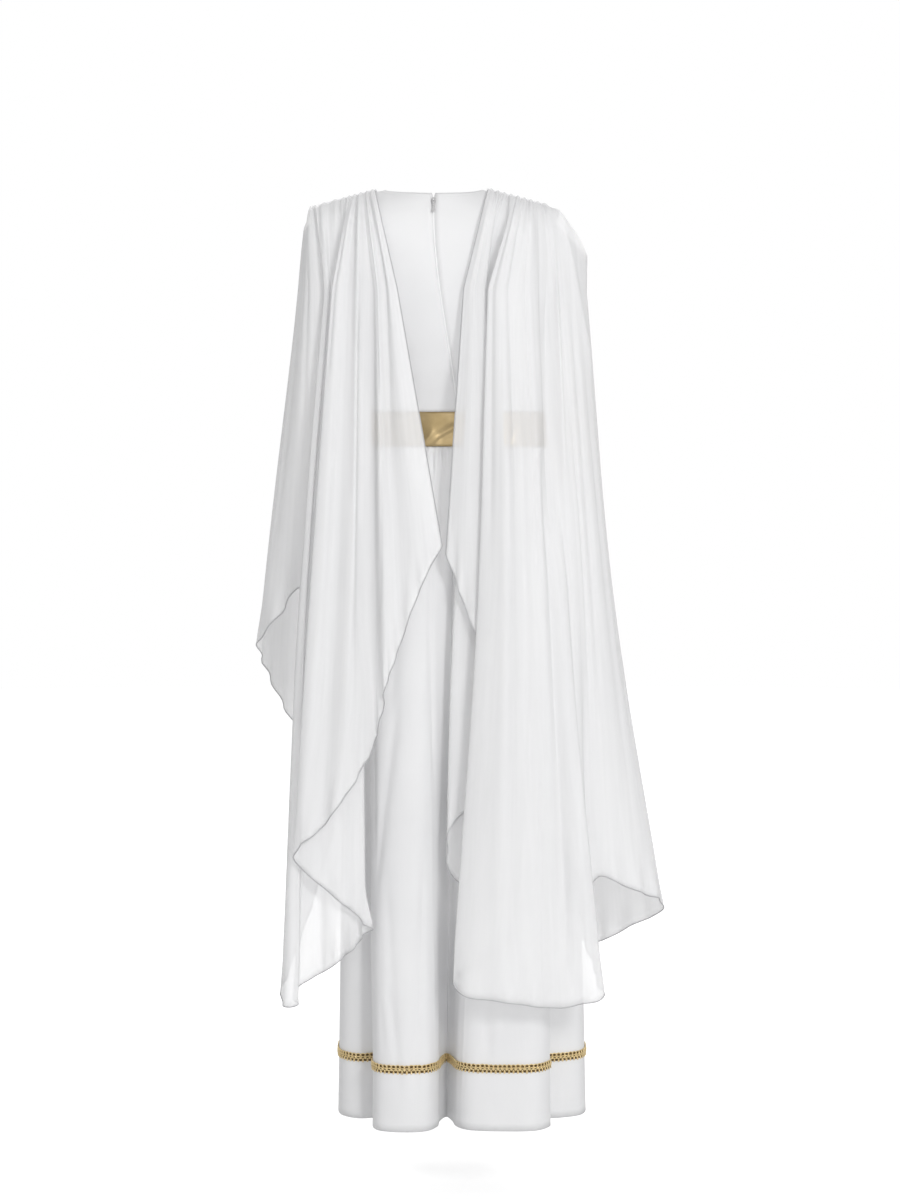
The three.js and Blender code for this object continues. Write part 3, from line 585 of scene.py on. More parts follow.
def new_piece(name, bm, material, body="costume"):
    for face in bm.faces:
        face.smooth = True
    mesh = bpy.data.meshes.new(name)
    bm.to_mesh(mesh)
    bm.free()
    piece = bpy.data.objects.new(name, mesh)
    bpy.context.scene.collection.objects.link(piece)
    mesh.materials.append(material)
    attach(piece, body)
    return piece


def cloth_piece(name, bm, material, thickness, node):
    piece = new_piece(name, bm, material)
    wall = piece.modifiers.new("cloth thickness", "SOLIDIFY")
    wall.thickness = thickness * MM
    wall.offset = 0
    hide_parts(node)
    return piece


def tube_mesh(name, points, radius, closed=False):
    """A round cord along points in metres, as a mesh."""
    curve = bpy.data.curves.new(name, "CURVE")
    curve.dimensions = "3D"
    curve.bevel_depth = radius * MM
    curve.bevel_resolution = 1
    curve.use_fill_caps = True
    run = curve.splines.new("POLY")
    run.points.add(len(points) - 1)
    for place, point in zip(run.points, points):
        place.co = (*point, 1)
    run.use_cyclic_u = closed
    guide = bpy.data.objects.new(name, curve)
    bpy.context.scene.collection.objects.link(guide)
    bpy.context.view_layer.update()
    graph = bpy.context.evaluated_depsgraph_get()
    mesh = bpy.data.meshes.new_from_object(guide.evaluated_get(graph))
    bpy.data.objects.remove(guide)
    bpy.data.curves.remove(curve)
    return mesh


def tube_piece(name, points, radius, material, closed=False):
    bm = bmesh.new()
    bm.from_mesh(tube_mesh(name, points, radius, closed))
    piece = new_piece(name, bm, material)
    return piece


def bead_shape():
    """A ball of few faces, one metre in radius, that is stamped many times in a small size."""
    ball = bmesh.new()
    bmesh.ops.create_icosphere(ball, subdivisions=1, radius=1)
    shape = bpy.data.meshes.new("bead")
    ball.to_mesh(shape)
    ball.free()
    return shape


def stamp(bm, shape, place):
    shape.transform(place)
    bm.from_mesh(shape)
    shape.transform(place.inverted())


def stitch_row(bm, points, pitch, length):
    """Stitches end to end along a path in metres, each a small spindle on the cloth."""
    shape = bead_shape()
    size = Matrix.Diagonal((length / 2 * MM, THREAD / 2 * MM, THREAD / 2 * MM, 1))
    wait = 0.0
    for start, end in zip(points, points[1:]):
        run = end - start
        while wait < run.length:
            middle = start + run.normalized() * wait
            turn = run.to_track_quat("X", "Z").to_matrix().to_4x4()
            stamp(bm, shape, Matrix.Translation(middle) @ turn @ size)
            wait += pitch * MM
        wait -= run.length
    bpy.data.meshes.remove(shape)


# Materials
def make_node(tree, kind, inputs=None, **settings):
    """A shader node with its settings, and each input linked or set."""
    node = tree.nodes.new(kind)
    for key, value in settings.items():
        setattr(node, key, value)
    for socket, value in (inputs or {}).items():
        if isinstance(value, bpy.types.NodeSocket):
            tree.links.new(value, node.inputs[socket])
        else:
            node.inputs[socket].default_value = value
    return node


def reckon(tree, operation, *values):
    """A sum on numbers or sockets."""
    inputs = dict(enumerate(values))
    return make_node(tree, "ShaderNodeMath", inputs, operation=operation).outputs[0]


def new_group(name, inputs, outputs):
    """A node group with named inputs and outputs, and its two end nodes."""
    group = bpy.data.node_groups.new(name, "ShaderNodeTree")
    for label, kind in inputs:
        group.interface.new_socket(name=label, in_out="INPUT", socket_type=kind)
    for label, kind in outputs:
        group.interface.new_socket(name=label, in_out="OUTPUT", socket_type=kind)
    start = group.nodes.new("NodeGroupInput")
    end = group.nodes.new("NodeGroupOutput")
    return group, start, end


NUMBER = "NodeSocketFloat"
VECTOR = "NodeSocketVector"
SLUBS_PER_METRE = 260.0
MARKS_START = 0.35
MARKS_FULL = 0.7


def thread_weave_group():
    """Plain weave: threads over and under each other, a little uneven, with gaps between them."""
    inputs = (("Place", VECTOR), ("Threads per metre", NUMBER), ("Slub", NUMBER))
    group, start, end = new_group("thread weave", inputs, (("Height", NUMBER), ("Gap", NUMBER)))
    place = start.outputs["Place"]
    threads = start.outputs["Threads per metre"]
    scale_inputs = {0: place, "Scale": threads}
    scaled = make_node(group, "ShaderNodeVectorMath", scale_inputs, operation="SCALE")
    parts = make_node(group, "ShaderNodeSeparateXYZ", {0: scaled.outputs[0]})
    warp = reckon(group, "SINE", reckon(group, "MULTIPLY", parts.outputs[0], math.pi))
    weft = reckon(group, "SINE", reckon(group, "MULTIPLY", parts.outputs[1], math.pi))
    over = reckon(group, "MULTIPLY_ADD", reckon(group, "MULTIPLY", warp, weft), 0.5, 0.5)
    slub_inputs = {"Vector": place, "Scale": SLUBS_PER_METRE, "Detail": 2.0}
    slub = make_node(group, "ShaderNodeTexNoise", slub_inputs)
    uneven_thread = reckon(group, "SUBTRACT", slub.outputs[0], 0.5)
    thick = reckon(group, "MULTIPLY", uneven_thread, start.outputs["Slub"])
    group.links.new(reckon(group, "ADD", over, thick), end.inputs["Height"])
    warp_gap = reckon(group, "SUBTRACT", 1.0, reckon(group, "ABSOLUTE", warp))
    weft_gap = reckon(group, "SUBTRACT", 1.0, reckon(group, "ABSOLUTE", weft))
    group.links.new(reckon(group, "MULTIPLY", warp_gap, weft_gap), end.inputs["Gap"])
    return group


def crinkle_group():
    """Fine crinkles that run down the cloth, as crepe chiffon and foiled satin have."""
    inputs = (("Place", VECTOR), ("Across per metre", NUMBER), ("Down per metre", NUMBER))
    group, start, end = new_group("fine crinkle", inputs, (("Height", NUMBER),))
    parts = make_node(group, "ShaderNodeSeparateXYZ", {0: start.outputs["Place"]})
    across = reckon(group, "MULTIPLY", parts.outputs[0], start.outputs["Across per metre"])
    down = reckon(group, "MULTIPLY", parts.outputs[1], start.outputs["Down per metre"])
    drawn = make_node(group, "ShaderNodeCombineXYZ", {0: across, 1: down})
    noise_inputs = {"Vector": drawn.outputs[0], "Scale": 1.0, "Detail": 3.0}
    noise_inputs.update({"Roughness": 0.55, "Distortion": 0.4})
    wrinkles = make_node(group, "ShaderNodeTexNoise", noise_inputs)
    group.links.new(wrinkles.outputs[0], end.inputs["Height"])
    return group


def handling_group():
    """Soft marks of washing and handling, as a mask from 0 to 1 over the object."""
    inputs = (("Place", VECTOR), ("Patches per metre", NUMBER), ("Strength", NUMBER))
    group, start, end = new_group("handling marks", inputs, (("Mask", NUMBER),))
    size = start.outputs["Patches per metre"]
    noise_inputs = {"Vector": start.outputs["Place"], "Scale": size, "Detail": 4.0}
    patches = make_node(group, "ShaderNodeTexNoise", noise_inputs)
    band = {"Value": patches.outputs[0], "From Min": MARKS_START, "From Max": MARKS_FULL}
    clear = make_node(group, "ShaderNodeMapRange", band)
    mask = reckon(group, "MULTIPLY", clear.outputs[0], start.outputs["Strength"])
    group.links.new(mask, end.inputs["Mask"])
    return group


THREAD_WEAVE = thread_weave_group()
FINE_CRINKLE = crinkle_group()
HANDLING = handling_group()


def place_group(tree, group, **inputs):
    node = tree.nodes.new("ShaderNodeGroup")
    node.node_tree = group
    for label, value in inputs.items():
        socket = node.inputs[label.replace("_", " ")]
        if isinstance(value, bpy.types.NodeSocket):
            tree.links.new(value, socket)
        else:
            socket.default_value = value
    return node


def new_material(name, **constants):
    """A material, its shader, and the places in the cloth and the object that patterns read."""
    material = bpy.data.materials.new(name)
    material.use_nodes = True
    tree = material.node_tree
    shader = next(node for node in tree.nodes if node.type == "BSDF_PRINCIPLED")
    for socket, value in constants.items():
        shader.inputs[socket.replace("_", " ")].default_value = value
    places = tree.nodes.new("ShaderNodeTexCoord")
    return material, tree, shader, places.outputs["UV"], places.outputs["Object"]


def blend_colours(tree, mask, light, dark):
    mix = make_node(tree, "ShaderNodeMix", {"Factor": mask}, data_type="RGBA")
    for socket, colour in ((mix.inputs[6], light), (mix.inputs[7], dark)):
        socket.default_value = (*colour, 1)
    return mix.outputs[2]


def bump(tree, height, strength, distance, normal=None):
    inputs = {"Height": height, "Strength": strength, "Distance": distance * MM}
    if normal is not None:
        inputs["Normal"] = normal
    return make_node(tree, "ShaderNodeBump", inputs).outputs[0]


def spread(tree, value, low, high):
    """A value from 0 to 1 spread from low to high."""
    inputs = {"Value": value, "To Min": low, "To Max": high}
    return make_node(tree, "ShaderNodeMapRange", inputs).outputs[0]


def woven(tree, place, threads, slub):
    return place_group(tree, THREAD_WEAVE, Place=place, Threads_per_metre=threads, Slub=slub)


def crinkled(tree, place, across, down):
    """The height of fine crinkles, from how many there are per metre across and down."""
    inputs = {"Place": place, "Across_per_metre": across, "Down_per_metre": down}
    return place_group(tree, FINE_CRINKLE, **inputs).outputs["Height"]


def handled(tree, place, patches, strength):
    """The mask of marks from handling, from how many patches there are per metre."""
    inputs = {"Place": place, "Patches_per_metre": patches, "Strength": strength}
    return place_group(tree, HANDLING, **inputs).outputs["Mask"]


def link_finish(tree, shader, colour, roughness, normal):
    tree.links.new(colour, shader.inputs["Base Color"])
    tree.links.new(roughness, shader.inputs["Roughness"])
    tree.links.new(normal, shader.inputs["Normal"])


def dress_cloth_material():
    constants = {"Sheen_Weight": 0.05, "Sheen_Roughness": 0.5, "Specular_IOR_Level": 0.2}
    material, tree, shader, flat, solid = new_material("white dress cloth", **constants)
    weave = woven(tree, flat, 1500.0, 0.5).outputs["Height"]
    marks = handled(tree, solid, 7.0, 0.6)
    colour = blend_colours(tree, marks, (0.8, 0.8, 0.805), (0.745, 0.745, 0.755))
    rough = spread(tree, weave, 0.62, 0.8)
    soft = bump(tree, crinkled(tree, flat, 90.0, 26.0), 0.25, 0.8)
    threads = bump(tree, weave, 0.2, 0.1, soft)
    link_finish(tree, shader, colour, rough, threads)
    return material


def seam_highlight_cloth_material():
    """The dress cloth where it is folded double, coloured a little lighter as a painted highlight on
    the seam line.
    """
    material, tree, shader, _, solid = new_material("folded dress cloth painted light as highlight", Specular_IOR_Level=0.2)
    weave = woven(tree, solid, 1500.0, 0.5).outputs["Height"]
    marks = handled(tree, solid, 40.0, 0.5)
    colour = blend_colours(tree, marks, (0.92, 0.92, 0.925), (0.84, 0.84, 0.85))
    rough = spread(tree, weave, 0.6, 0.8)
    link_finish(tree, shader, colour, rough, bump(tree, weave, 0.2, 0.1))
    return material


# Chiffon stops this share of the light that its cover alone would stop, because light scatters on
# through the cloth
LIGHT_STOPPED = 0.55


def chiffon_material(name, low_alpha, high_alpha, light, dark):
    constants = {"Sheen_Weight": 0.03, "Sheen_Roughness": 0.6, "Specular_IOR_Level": 0.12}
    material, tree, shader, flat, solid = new_material(name, **constants)
    weave = woven(tree, flat, 1300.0, 0.4)
    crepe = crinkled(tree, flat, 300.0, 14.0)
    wide = crinkled(tree, flat, 75.0, 4.0)
    colour = blend_colours(tree, handled(tree, solid, 5.0, 0.5), light, dark)
    rough = spread(tree, crepe, 0.6, 0.8)
    folds = bump(tree, wide, 0.06, 1.2)
    lines = bump(tree, crepe, 0.09, 0.4, folds)
    threads = bump(tree, weave.outputs["Height"], 0.15, 0.1, lines)
    link_finish(tree, shader, colour, rough, threads)
    closed = reckon(tree, "SUBTRACT", 1.0, weave.outputs["Gap"])
    thick = reckon(tree, "MULTIPLY", wide, closed)
    seen = make_node(tree, "ShaderNodeLightPath").outputs["Is Camera Ray"]
    stops = spread(tree, seen, LIGHT_STOPPED, 1.0)
    cover = reckon(tree, "MULTIPLY", spread(tree, thick, low_alpha, high_alpha), stops)
    tree.links.new(cover, shader.inputs["Alpha"])
    return material


def gold_satin_material():
    constants = {"Metallic": 0.85, "Anisotropic": 0.3}
    material, tree, shader, flat, solid = new_material("gold foiled satin", **constants)
    weave = woven(tree, flat, 2400.0, 0.4).outputs["Height"]
    foil = crinkled(tree, flat, 55.0, 70.0)
    marks = handled(tree, solid, 30.0, 0.8)
    colour = blend_colours(tree, marks, (0.5, 0.38, 0.205), (0.34, 0.25, 0.115))
    rough = spread(tree, foil, 0.25, 0.4)
    threads = bump(tree, weave, 0.15, 0.1, bump(tree, foil, 0.1, 1.2))
    link_finish(tree, shader, colour, rough, threads)
    return material


def yarn_material(name, light, dark, metallic, low_rough, high_rough, strands=900.0):
    """Twisted yarn: fine strands, with painted shade that darkens the hollows between them."""
    material, tree, shader, _, solid = new_material(name, Metallic=metallic)
    strand = make_node(tree, "ShaderNodeTexVoronoi", {"Vector": solid, "Scale": strands})
    hollow = strand.outputs["Distance"]
    marks = handled(tree, solid, 60.0, 0.6)
    # The handling marks are real wear; the darkening of the hollows between strands is painted shade.
    wear_and_hollow_shade = reckon(tree, "MAXIMUM", marks, spread(tree, hollow, 0.0, 0.8))
    colour = blend_colours(tree, wear_and_hollow_shade, light, dark)
    rough = spread(tree, hollow, low_rough, high_rough)
    link_finish(tree, shader, colour, rough, bump(tree, hollow, 0.5, 0.3))
    return material


def zip_metal_material():
    material, tree, shader, _, solid = new_material("plated zip metal", Metallic=0.95)
    brushed = crinkled(tree, solid, 4000.0, 900.0)
    marks = handled(tree, solid, 500.0, 0.9)
    colour = blend_colours(tree, marks, (0.84, 0.84, 0.85), (0.6, 0.59, 0.58))
    rough = spread(tree, marks, 0.22, 0.42)
    link_finish(tree, shader, colour, rough, bump(tree, brushed, 0.1, 0.05))
    return material


# How strongly the floor shines back at the camera alone, so that it blends into the white surround
FLOOR_GLOW = 0.55


def studio_floor_material():
    material, tree, shader, _, solid = new_material("pale studio floor", Specular_IOR_Level=0.1)
    marks = handled(tree, solid, 0.8, 1.0)
    colour = blend_colours(tree, marks, (0.82, 0.82, 0.82), (0.79, 0.79, 0.795))
    tree.links.new(colour, shader.inputs["Base Color"])
    tree.links.new(spread(tree, marks, 0.85, 0.95), shader.inputs["Roughness"])
    shader.inputs["Emission Color"].default_value = (1, 1, 1, 1)
    seen = make_node(tree, "ShaderNodeLightPath").outputs["Is Camera Ray"]
    tree.links.new(reckon(tree, "MULTIPLY", seen, FLOOR_GLOW), shader.inputs["Emission Strength"])
    return material


DRESS = dress_cloth_material()
SEAM_HIGHLIGHT_CLOTH = seam_highlight_cloth_material()
CHIFFON_CLOTH = chiffon_material(
    "white chiffon", 0.49, 0.61, (0.88, 0.88, 0.885), (0.845, 0.845, 0.855)
)
# The rolled edge is denser chiffon, nearly opaque, but its grey colour is painted shade: the chiffon
# itself is white.
SHADED_CHIFFON_EDGE = chiffon_material(
    "rolled chiffon edge painted grey as shade", 0.9, 1.0, (0.5, 0.5, 0.51), (0.4, 0.4, 0.41)
)
CHIFFON_SEAM = chiffon_material(
    "bound chiffon seam", 0.95, 1.0, (0.86, 0.86, 0.87), (0.78, 0.78, 0.79)
)
GOLD_SATIN = gold_satin_material()
BRAID_YARN = yarn_material("gold braid yarn", (1.0, 0.84, 0.5), (0.66, 0.46, 0.18), 0.55, 0.2, 0.4)
# The braid's ground is painted near black as the shade in the crevices between its loops.
BRAID_SHADE_GROUND = yarn_material(
    "gold braid ground painted dark as shade", (0.17, 0.1, 0.03), (0.09, 0.05, 0.015), 0.3, 0.45, 0.65
)
DRESS_THREAD = yarn_material(
    "white sewing thread", (0.84, 0.84, 0.84), (0.6, 0.6, 0.6), 0.0, 0.5, 0.7, 3000.0
)
ZIP_METAL = zip_metal_material()
ZIP_COIL = yarn_material(
    "white zip coil", (0.8, 0.8, 0.8), (0.55, 0.55, 0.55), 0.0, 0.3, 0.5, 1500.0
)


def dress_piece(name, bm):
    """A piece of dress cloth in place of the node that it is named after."""
    node = name.replace("_cloth", "")
    return cloth_piece(name, bm, DRESS, DRESS_CLOTH, node)


# Bodice
BODICE_STEPS = 4
BODICE_COLUMNS = 44
BACK_CREASES = [Crease(*row) for row in (
    (-60, 250, 20, 318, 9, 1.6), (-100, 262, -52, 322, 8, 1.5), (70, 236, 18, 300, 9, 1.5),
    (88, 262, 40, 316, 7, 1.3), (-38, 300, 24, 306, 4, 0.9), (-96, 212, -64, 282, 8, 1.3),
    (96, 214, 68, 276, 8, 1.4), (-28, 120, -44, 262, 14, 1.5), (42, 96, 30, 216, 16, 1.4),
    (120, 60, 96, 190, 12, 1.6), (-120, 60, -104, 190, 12, 1.6), (-70, 30, -60, 130, 12, 1.1),
    (14, 60, -4, 150, 7, 0.8), (60, 302, -20, 324, 5, 0.9), (-120, 300, -70, 308, 5, 1.0),
    (70, 29, -64, 33, 2.6, 0.8), (-30, 40, -58, 44, 3, 0.5), (-44, 240, -66, 324, 9, 2.2),
)]
FRONT_CREASES = [Crease(*row) for row in (
    (-108, 214, -50, 300, 9, 1.8), (70, 216, 18, 304, 9, 1.8), (-70, 282, 10, 318, 7, 1.2),
    (84, 270, 30, 316, 7, 1.3), (-112, 60, -88, 180, 12, 1.6), (110, 60, 86, 180, 12, 1.6),
    (-30, 120, -44, 226, 16, 1.2), (30, 124, 14, 232, 15, 1.3), (-140, 238, -92, 268, 7, 1.2),
    (104, 240, 60, 264, 7, 1.2), (-20, 300, 40, 308, 4, 0.9), (4, 92, -6, 140, 8, 0.7),
)]
SEAM_RISE = 0.3
SEAM_DIP = 0.2
SEAM_WIDTH = 1.6
SEAM_PUCKER = 0.45
SEAM_PUCKER_EVERY = 11
SEAM_PUCKER_START = 3
SEAM_PUCKER_REACH = 9
BODICE_SOFTNESS = 0.8
BODICE_SOFT_ACROSS = 45
BODICE_SOFT_DOWN = 60

# The flat cloth of half a bodice is wider than the half looks, as it runs on round to the side
FLAT_WIDENING = 1.25
FLAT_DEPTH_SHARE = 3


def bodice_relief(point, is_back):
    """Creases, soft unevenness, and the centre seam's low ridge and puckers."""
    creases = BACK_CREASES if is_back else FRONT_CREASES
    relief = crease_relief(creases, point.x, -point.z)
    across, back = point.x / BODICE_SOFT_ACROSS, point.y / BODICE_SOFT_ACROSS
    relief += BODICE_SOFTNESS * uneven(across, back, point.z / BODICE_SOFT_DOWN)
    if is_back:
        off = abs(point.x - lean(point.z))
        pucker = math.sin(2 * math.pi * point.z / SEAM_PUCKER_EVERY + 2 * uneven(point.z / 30))
        fade = math.exp(-off / SEAM_PUCKER_REACH)
        relief += SEAM_PUCKER * pucker * fade * smooth(off / SEAM_PUCKER_START)
        relief += SEAM_RISE * math.exp(-(off / SEAM_WIDTH) ** 2)
    return relief


def bodice_flat(point, side):
    """Where a point of the bodice lies in the flat cloth."""
    away = math.hypot(point.x - lean(point.z), point.y / FLAT_DEPTH_SHARE)
    return side * FLAT_WIDENING * away, point.z


def bodice_piece(name, sides, is_back):
    """A bodice of one half or two, joined at the centre."""
    rows = [row / BODICE_STEPS for row in range(BODICE_ROWS * BODICE_STEPS + 1)]
    shares = [i / BODICE_COLUMNS for i in range(BODICE_COLUMNS + 1)]
    bm = bmesh.new()
    for side in sides:
        points = [[bodice_point(row, share, side, is_back) for share in shares] for row in rows]
        lay_grid(bm, points, [[bodice_flat(point, side) for point in line] for line in points])
    join_and_face_outwards(bm, NECK_MIDDLE)
    move_out(bm, [(vert, bodice_relief(vert.co / MM, is_back)) for vert in bm.verts])
    return dress_piece(name, bm)


bodice_front = bodice_piece("bodice_front_cloth", (1, -1), False)
bodice_back_left = bodice_piece("bodice_back_left_cloth", (1,), True)
bodice_back_right = bodice_piece("bodice_back_right_cloth", (-1,), True)


# Waistband
BAND_COLUMNS = 288
BAND_ROWS = 14
BAND_CREASES = [Crease(*row) for row in (
    (67.5, 49, 76, 24, 1.7, -1.5), (74.6, 53, 80, 36, 1.4, -1.4), (78.5, 39, 90, 24, 1.7, -1.3),
    (76, 38, 90, 18, 4.5, 1.7), (82, 52, 96, 40, 2.0, -0.7), (92, 50, 102, 6, 3.0, 0.9),
    (100, 52, 112, 20, 2.2, -0.9), (52, 52, 62, 14, 2.6, -0.9), (58, 40, 66, -2, 3.4, 0.7),
    (118, 52, 128, 12, 2.6, 0.9), (34, 50, 44, 8, 2.8, -0.9), (14, 52, 22, 16, 3.0, 0.9),
    (146, 52, 156, 8, 3.0, -0.9), (172, 50, 184, 10, 3.0, 0.9), (200, 4, 212, 53, 2.6, -0.8),
    (226, -2, 240, 50, 3.0, 0.9), (250, 8, 262, 53, 2.4, -0.8), (276, -2, 290, 42, 2.8, 0.9),
    (302, 4, 314, 53, 2.6, -0.8), (330, -2, 342, 46, 3.0, 0.9),
)]
BAND_FULLNESS = 0.9
BAND_MM_PER_DEGREE = 1.95
BAND_CREASE_PITCH = 1.9
BAND_UNEVEN = 0.35
BAND_UNEVEN_TURN = 9
BAND_UNEVEN_DROP = 22


def waistband():
    """The gold band, a little full between its edges, with slanting wrinkles in its foil."""
    bm = bmesh.new()
    turns = [360 * i / BAND_COLUMNS for i in range(BAND_COLUMNS + 1)]
    heights = [lerp(BAND_TOP, BAND_BOTTOM, row / BAND_ROWS) for row in range(BAND_ROWS + 1)]
    points = [[torso_point(turn, z, BAND_STANDS_OUT) for turn in turns] for z in heights]
    flats = [[(turn * BAND_MM_PER_DEGREE, z) for turn in turns] for z in heights]
    table = lay_grid(bm, points, flats)
    join_and_face_outwards(bm, WAIST_MIDDLE)
    table = [[vert for vert in line if vert.is_valid] for line in table]

    def relief(row, column):
        turn = 360 * column / BAND_COLUMNS
        drop = row / BAND_ROWS * (BAND_TOP - BAND_BOTTOM)
        full = BAND_FULLNESS * math.sin(math.pi * row / BAND_ROWS)
        creased = full + crease_relief(BAND_CREASES, turn, drop, BAND_CREASE_PITCH)
        return creased + BAND_UNEVEN * uneven(turn / BAND_UNEVEN_TURN, drop / BAND_UNEVEN_DROP)

    emboss(bm, table, relief)
    return cloth_piece("waistband_satin", bm, GOLD_SATIN, SATIN, "waistband")


waistband_satin = waistband()


# Skirt
SKIRT_PER_FOLD = 10
SKIRT_STEPS = (
    (SKIRT_TOP, -500, 26),
    (-500, -900, 30),
    (-900, HEM, 40),
)
SKIRT_CREASES = [Crease(*row) for row in (
    (6.4, 40, 5.6, 420, 12, 3.0), (4.2, 120, 4.6, 640, 11, 2.6), (7.6, 60, 7.9, 520, 9, 2.2),
    (8.4, 10, 8.8, 200, 7, 2.0), (7.2, 560, 6.4, 980, 14, 3.2), (5.4, 600, 5.9, 960, 10, 2.2),
    (6.8, 820, 6.9, 900, 6, 1.3), (7.1, 850, 6.9, 930, 5, 1.1), (6.6, 880, 6.7, 950, 5, 1.0),
    (11.6, 10, 11.9, 260, 7, 2.2), (13.2, 60, 13.6, 540, 12, 3.0), (14.6, 30, 15.2, 360, 12, 2.6),
    (15.6, 320, 15.0, 900, 14, 3.0), (13.9, 520, 13.4, 980, 11, 2.4),
    (17.2, 60, 17.6, 560, 12, 2.8),
    (18.6, 120, 19.2, 700, 14, 3.2), (1.6, 60, 1.2, 600, 13, 3.0), (2.6, 300, 2.9, 900, 12, 2.6),
    (21.4, 40, 21.8, 620, 13, 3.0), (23.4, 20, 23.0, 420, 10, 2.4), (24.6, 200, 25.0, 840, 13, 3.2),
    (26.4, 10, 26.0, 380, 10, 2.6), (27.6, 260, 27.2, 900, 13, 3.0), (29.2, 30, 29.6, 520, 12, 2.8),
    (30.6, 200, 31.0, 860, 13, 2.8), (25.6, 520, 25.2, 960, 10, 2.2),
    (22.4, 640, 22.9, 970, 10, 2.2),
    (6.1, 340, 4.7, 670, 12, 3.4), (5.4, 775, 5.8, 870, 5, 2.2), (5.1, 800, 5.3, 880, 4, 1.4),
    (13.4, 815, 13.7, 890, 5, 2.0), (13.9, 800, 14.0, 860, 4, 1.2), (4.35, 360, 4.4, 985, 3, -1.3),
    (7.7, 300, 7.8, 985, 3, -1.3), (12.4, 380, 12.5, 985, 3, -1.3), (15.9, 640, 16.0, 985, 3, -1.3),
    (7.2, 4, 7.7, 60, 4, 1.6), (8.1, 2, 9.0, 54, 4, 1.5), (6.4, 6, 6.9, 72, 5, 1.6),
)]
SKIRT_SOFTNESS = 2.4
SKIRT_SOFT_ACROSS = 60
SKIRT_SOFT_DOWN = 230
SKIRT_SOFT_START = 160

# How far apart the skirt's folds are at the waist, at the hem and where its seams run
FOLD_PITCH_AT_WAIST = 24
FOLD_PITCH_AT_HEM = 64
FOLD_PITCH_AT_SEAMS = 50
FOLD_PITCH_DROP = 990


def stepped_heights(steps):
    heights = [steps[0][0]]
    for start, end, count in steps:
        heights += [lerp(start, end, (i + 1) / count) for i in range(count)]
    return heights


skirt_heights = stepped_heights(SKIRT_STEPS)
skirt_rings = [skirt_ring(z, SKIRT_PER_FOLD) for z in skirt_heights]
skirt_arcs = [0.0]
for here, there in zip(skirt_rings[-1], skirt_rings[-1][1:] + skirt_rings[-1][:1]):
    skirt_arcs.append(skirt_arcs[-1] + (there - here).length)


def skirt_relief(point, place, z):
    """Creases and soft unevenness below the hips, and the three seams' grooves."""
    drop = SKIRT_TOP - z
    pitch = lerp(FOLD_PITCH_AT_WAIST, FOLD_PITCH_AT_HEM, clamp01(drop / FOLD_PITCH_DROP))
    relief = crease_relief(SKIRT_CREASES, place, drop, pitch)
    across, back = point.x / SKIRT_SOFT_ACROSS, point.y / SKIRT_SOFT_ACROSS
    soft = SKIRT_SOFTNESS * uneven(across, back, z / SKIRT_SOFT_DOWN)
    relief += soft * smooth(drop / SKIRT_SOFT_START)
    for seam in (0, SKIRT_BACK_SEAM, SKIRT_RIGHT_SEAM, len(SKIRT_FOLDS)):
        off = abs(place - seam) * FOLD_PITCH_AT_SEAMS
        relief -= SEAM_DIP * math.exp(-(off / (2 * SEAM_WIDTH)) ** 2)
    return relief


def skirt_panel(name, start, end):
    bm = bmesh.new()
    first = start * SKIRT_PER_FOLD
    last = end * SKIRT_PER_FOLD
    around = len(skirt_rings[0])
    points = [[ring[i % around] for i in range(first, last + 1)] for ring in skirt_rings]
    flats = [[(skirt_arcs[i], z) for i in range(first, last + 1)] for z in skirt_heights]
    table = lay_grid(bm, points, flats)
    face_outwards(bm, WAIST_MIDDLE)

    def relief(row, column):
        place = start + column / SKIRT_PER_FOLD
        return skirt_relief(points[row][column], place, skirt_heights[row])

    emboss(bm, table, relief)
    return dress_piece(name, bm)


skirt_back_left = skirt_panel("skirt_back_left_cloth", 0, SKIRT_BACK_SEAM)
skirt_back_right = skirt_panel("skirt_back_right_cloth", SKIRT_BACK_SEAM, SKIRT_RIGHT_SEAM)
skirt_front = skirt_panel("skirt_front_cloth", SKIRT_RIGHT_SEAM, len(SKIRT_FOLDS))


# Braid
BRAID_STEP = 0.72
BRAID_LIFT = 0.9
BRAID_LOOP = 6.4
BRAID_ROW = 3.4
BRAID_LOOP_HALF = 3.0
BRAID_LOOP_SWING = 2.3
BRAID_CORD = 0.72
BRAID_CORD_LIFT = 0.9
BRAID_WEAVE = 0.45
BRAID_UNEVEN = 0.2
BRAID_UNEVEN_EVERY = 11
BRAID_GROUND_EDGE = 3
BRAID_GROUND_STEP = 3
BRAID_GROUND_THICK = 0.5
MIDDLE_CORD_SIZE = 0.6
MIDDLE_CORD_LIFT = 0.5


def skirt_line(z):
    """The ring of points on the creased skirt at one height."""
    ring = skirt_ring(z, SKIRT_PER_FOLD)
    result = []
    for i, (point, out) in enumerate(zip(ring, ways_out(ring))):
        result.append(point + out * skirt_relief(point, i / SKIRT_PER_FOLD, z))
    return result


def even_steps(points, step):
    """Points at even steps round a closed row of points, with the way out of the cloth at each."""
    total = sum((b - a).length for a, b in zip(points, points[1:] + points[:1]))
    count = round(total / step)
    result = []
    index = 0
    walked = 0.0
    for k in range(count):
        target = total * k / count
        while walked + (points[(index + 1) % len(points)] - points[index]).length < target:
            walked += (points[(index + 1) % len(points)] - points[index]).length
            index += 1
        run = points[(index + 1) % len(points)] - points[index]
        out = Vector((run.y, -run.x, 0)).normalized()
        result.append((points[index] + run.normalized() * (target - walked), out))
    return result


def between_steps(places, where):
    """The point and way out at a place between two of the even steps."""
    first = math.floor(where)
    p, out = places[first % len(places)]
    q, next_out = places[(first + 1) % len(places)]
    return p.lerp(q, where - first), out.lerp(next_out, where - first)


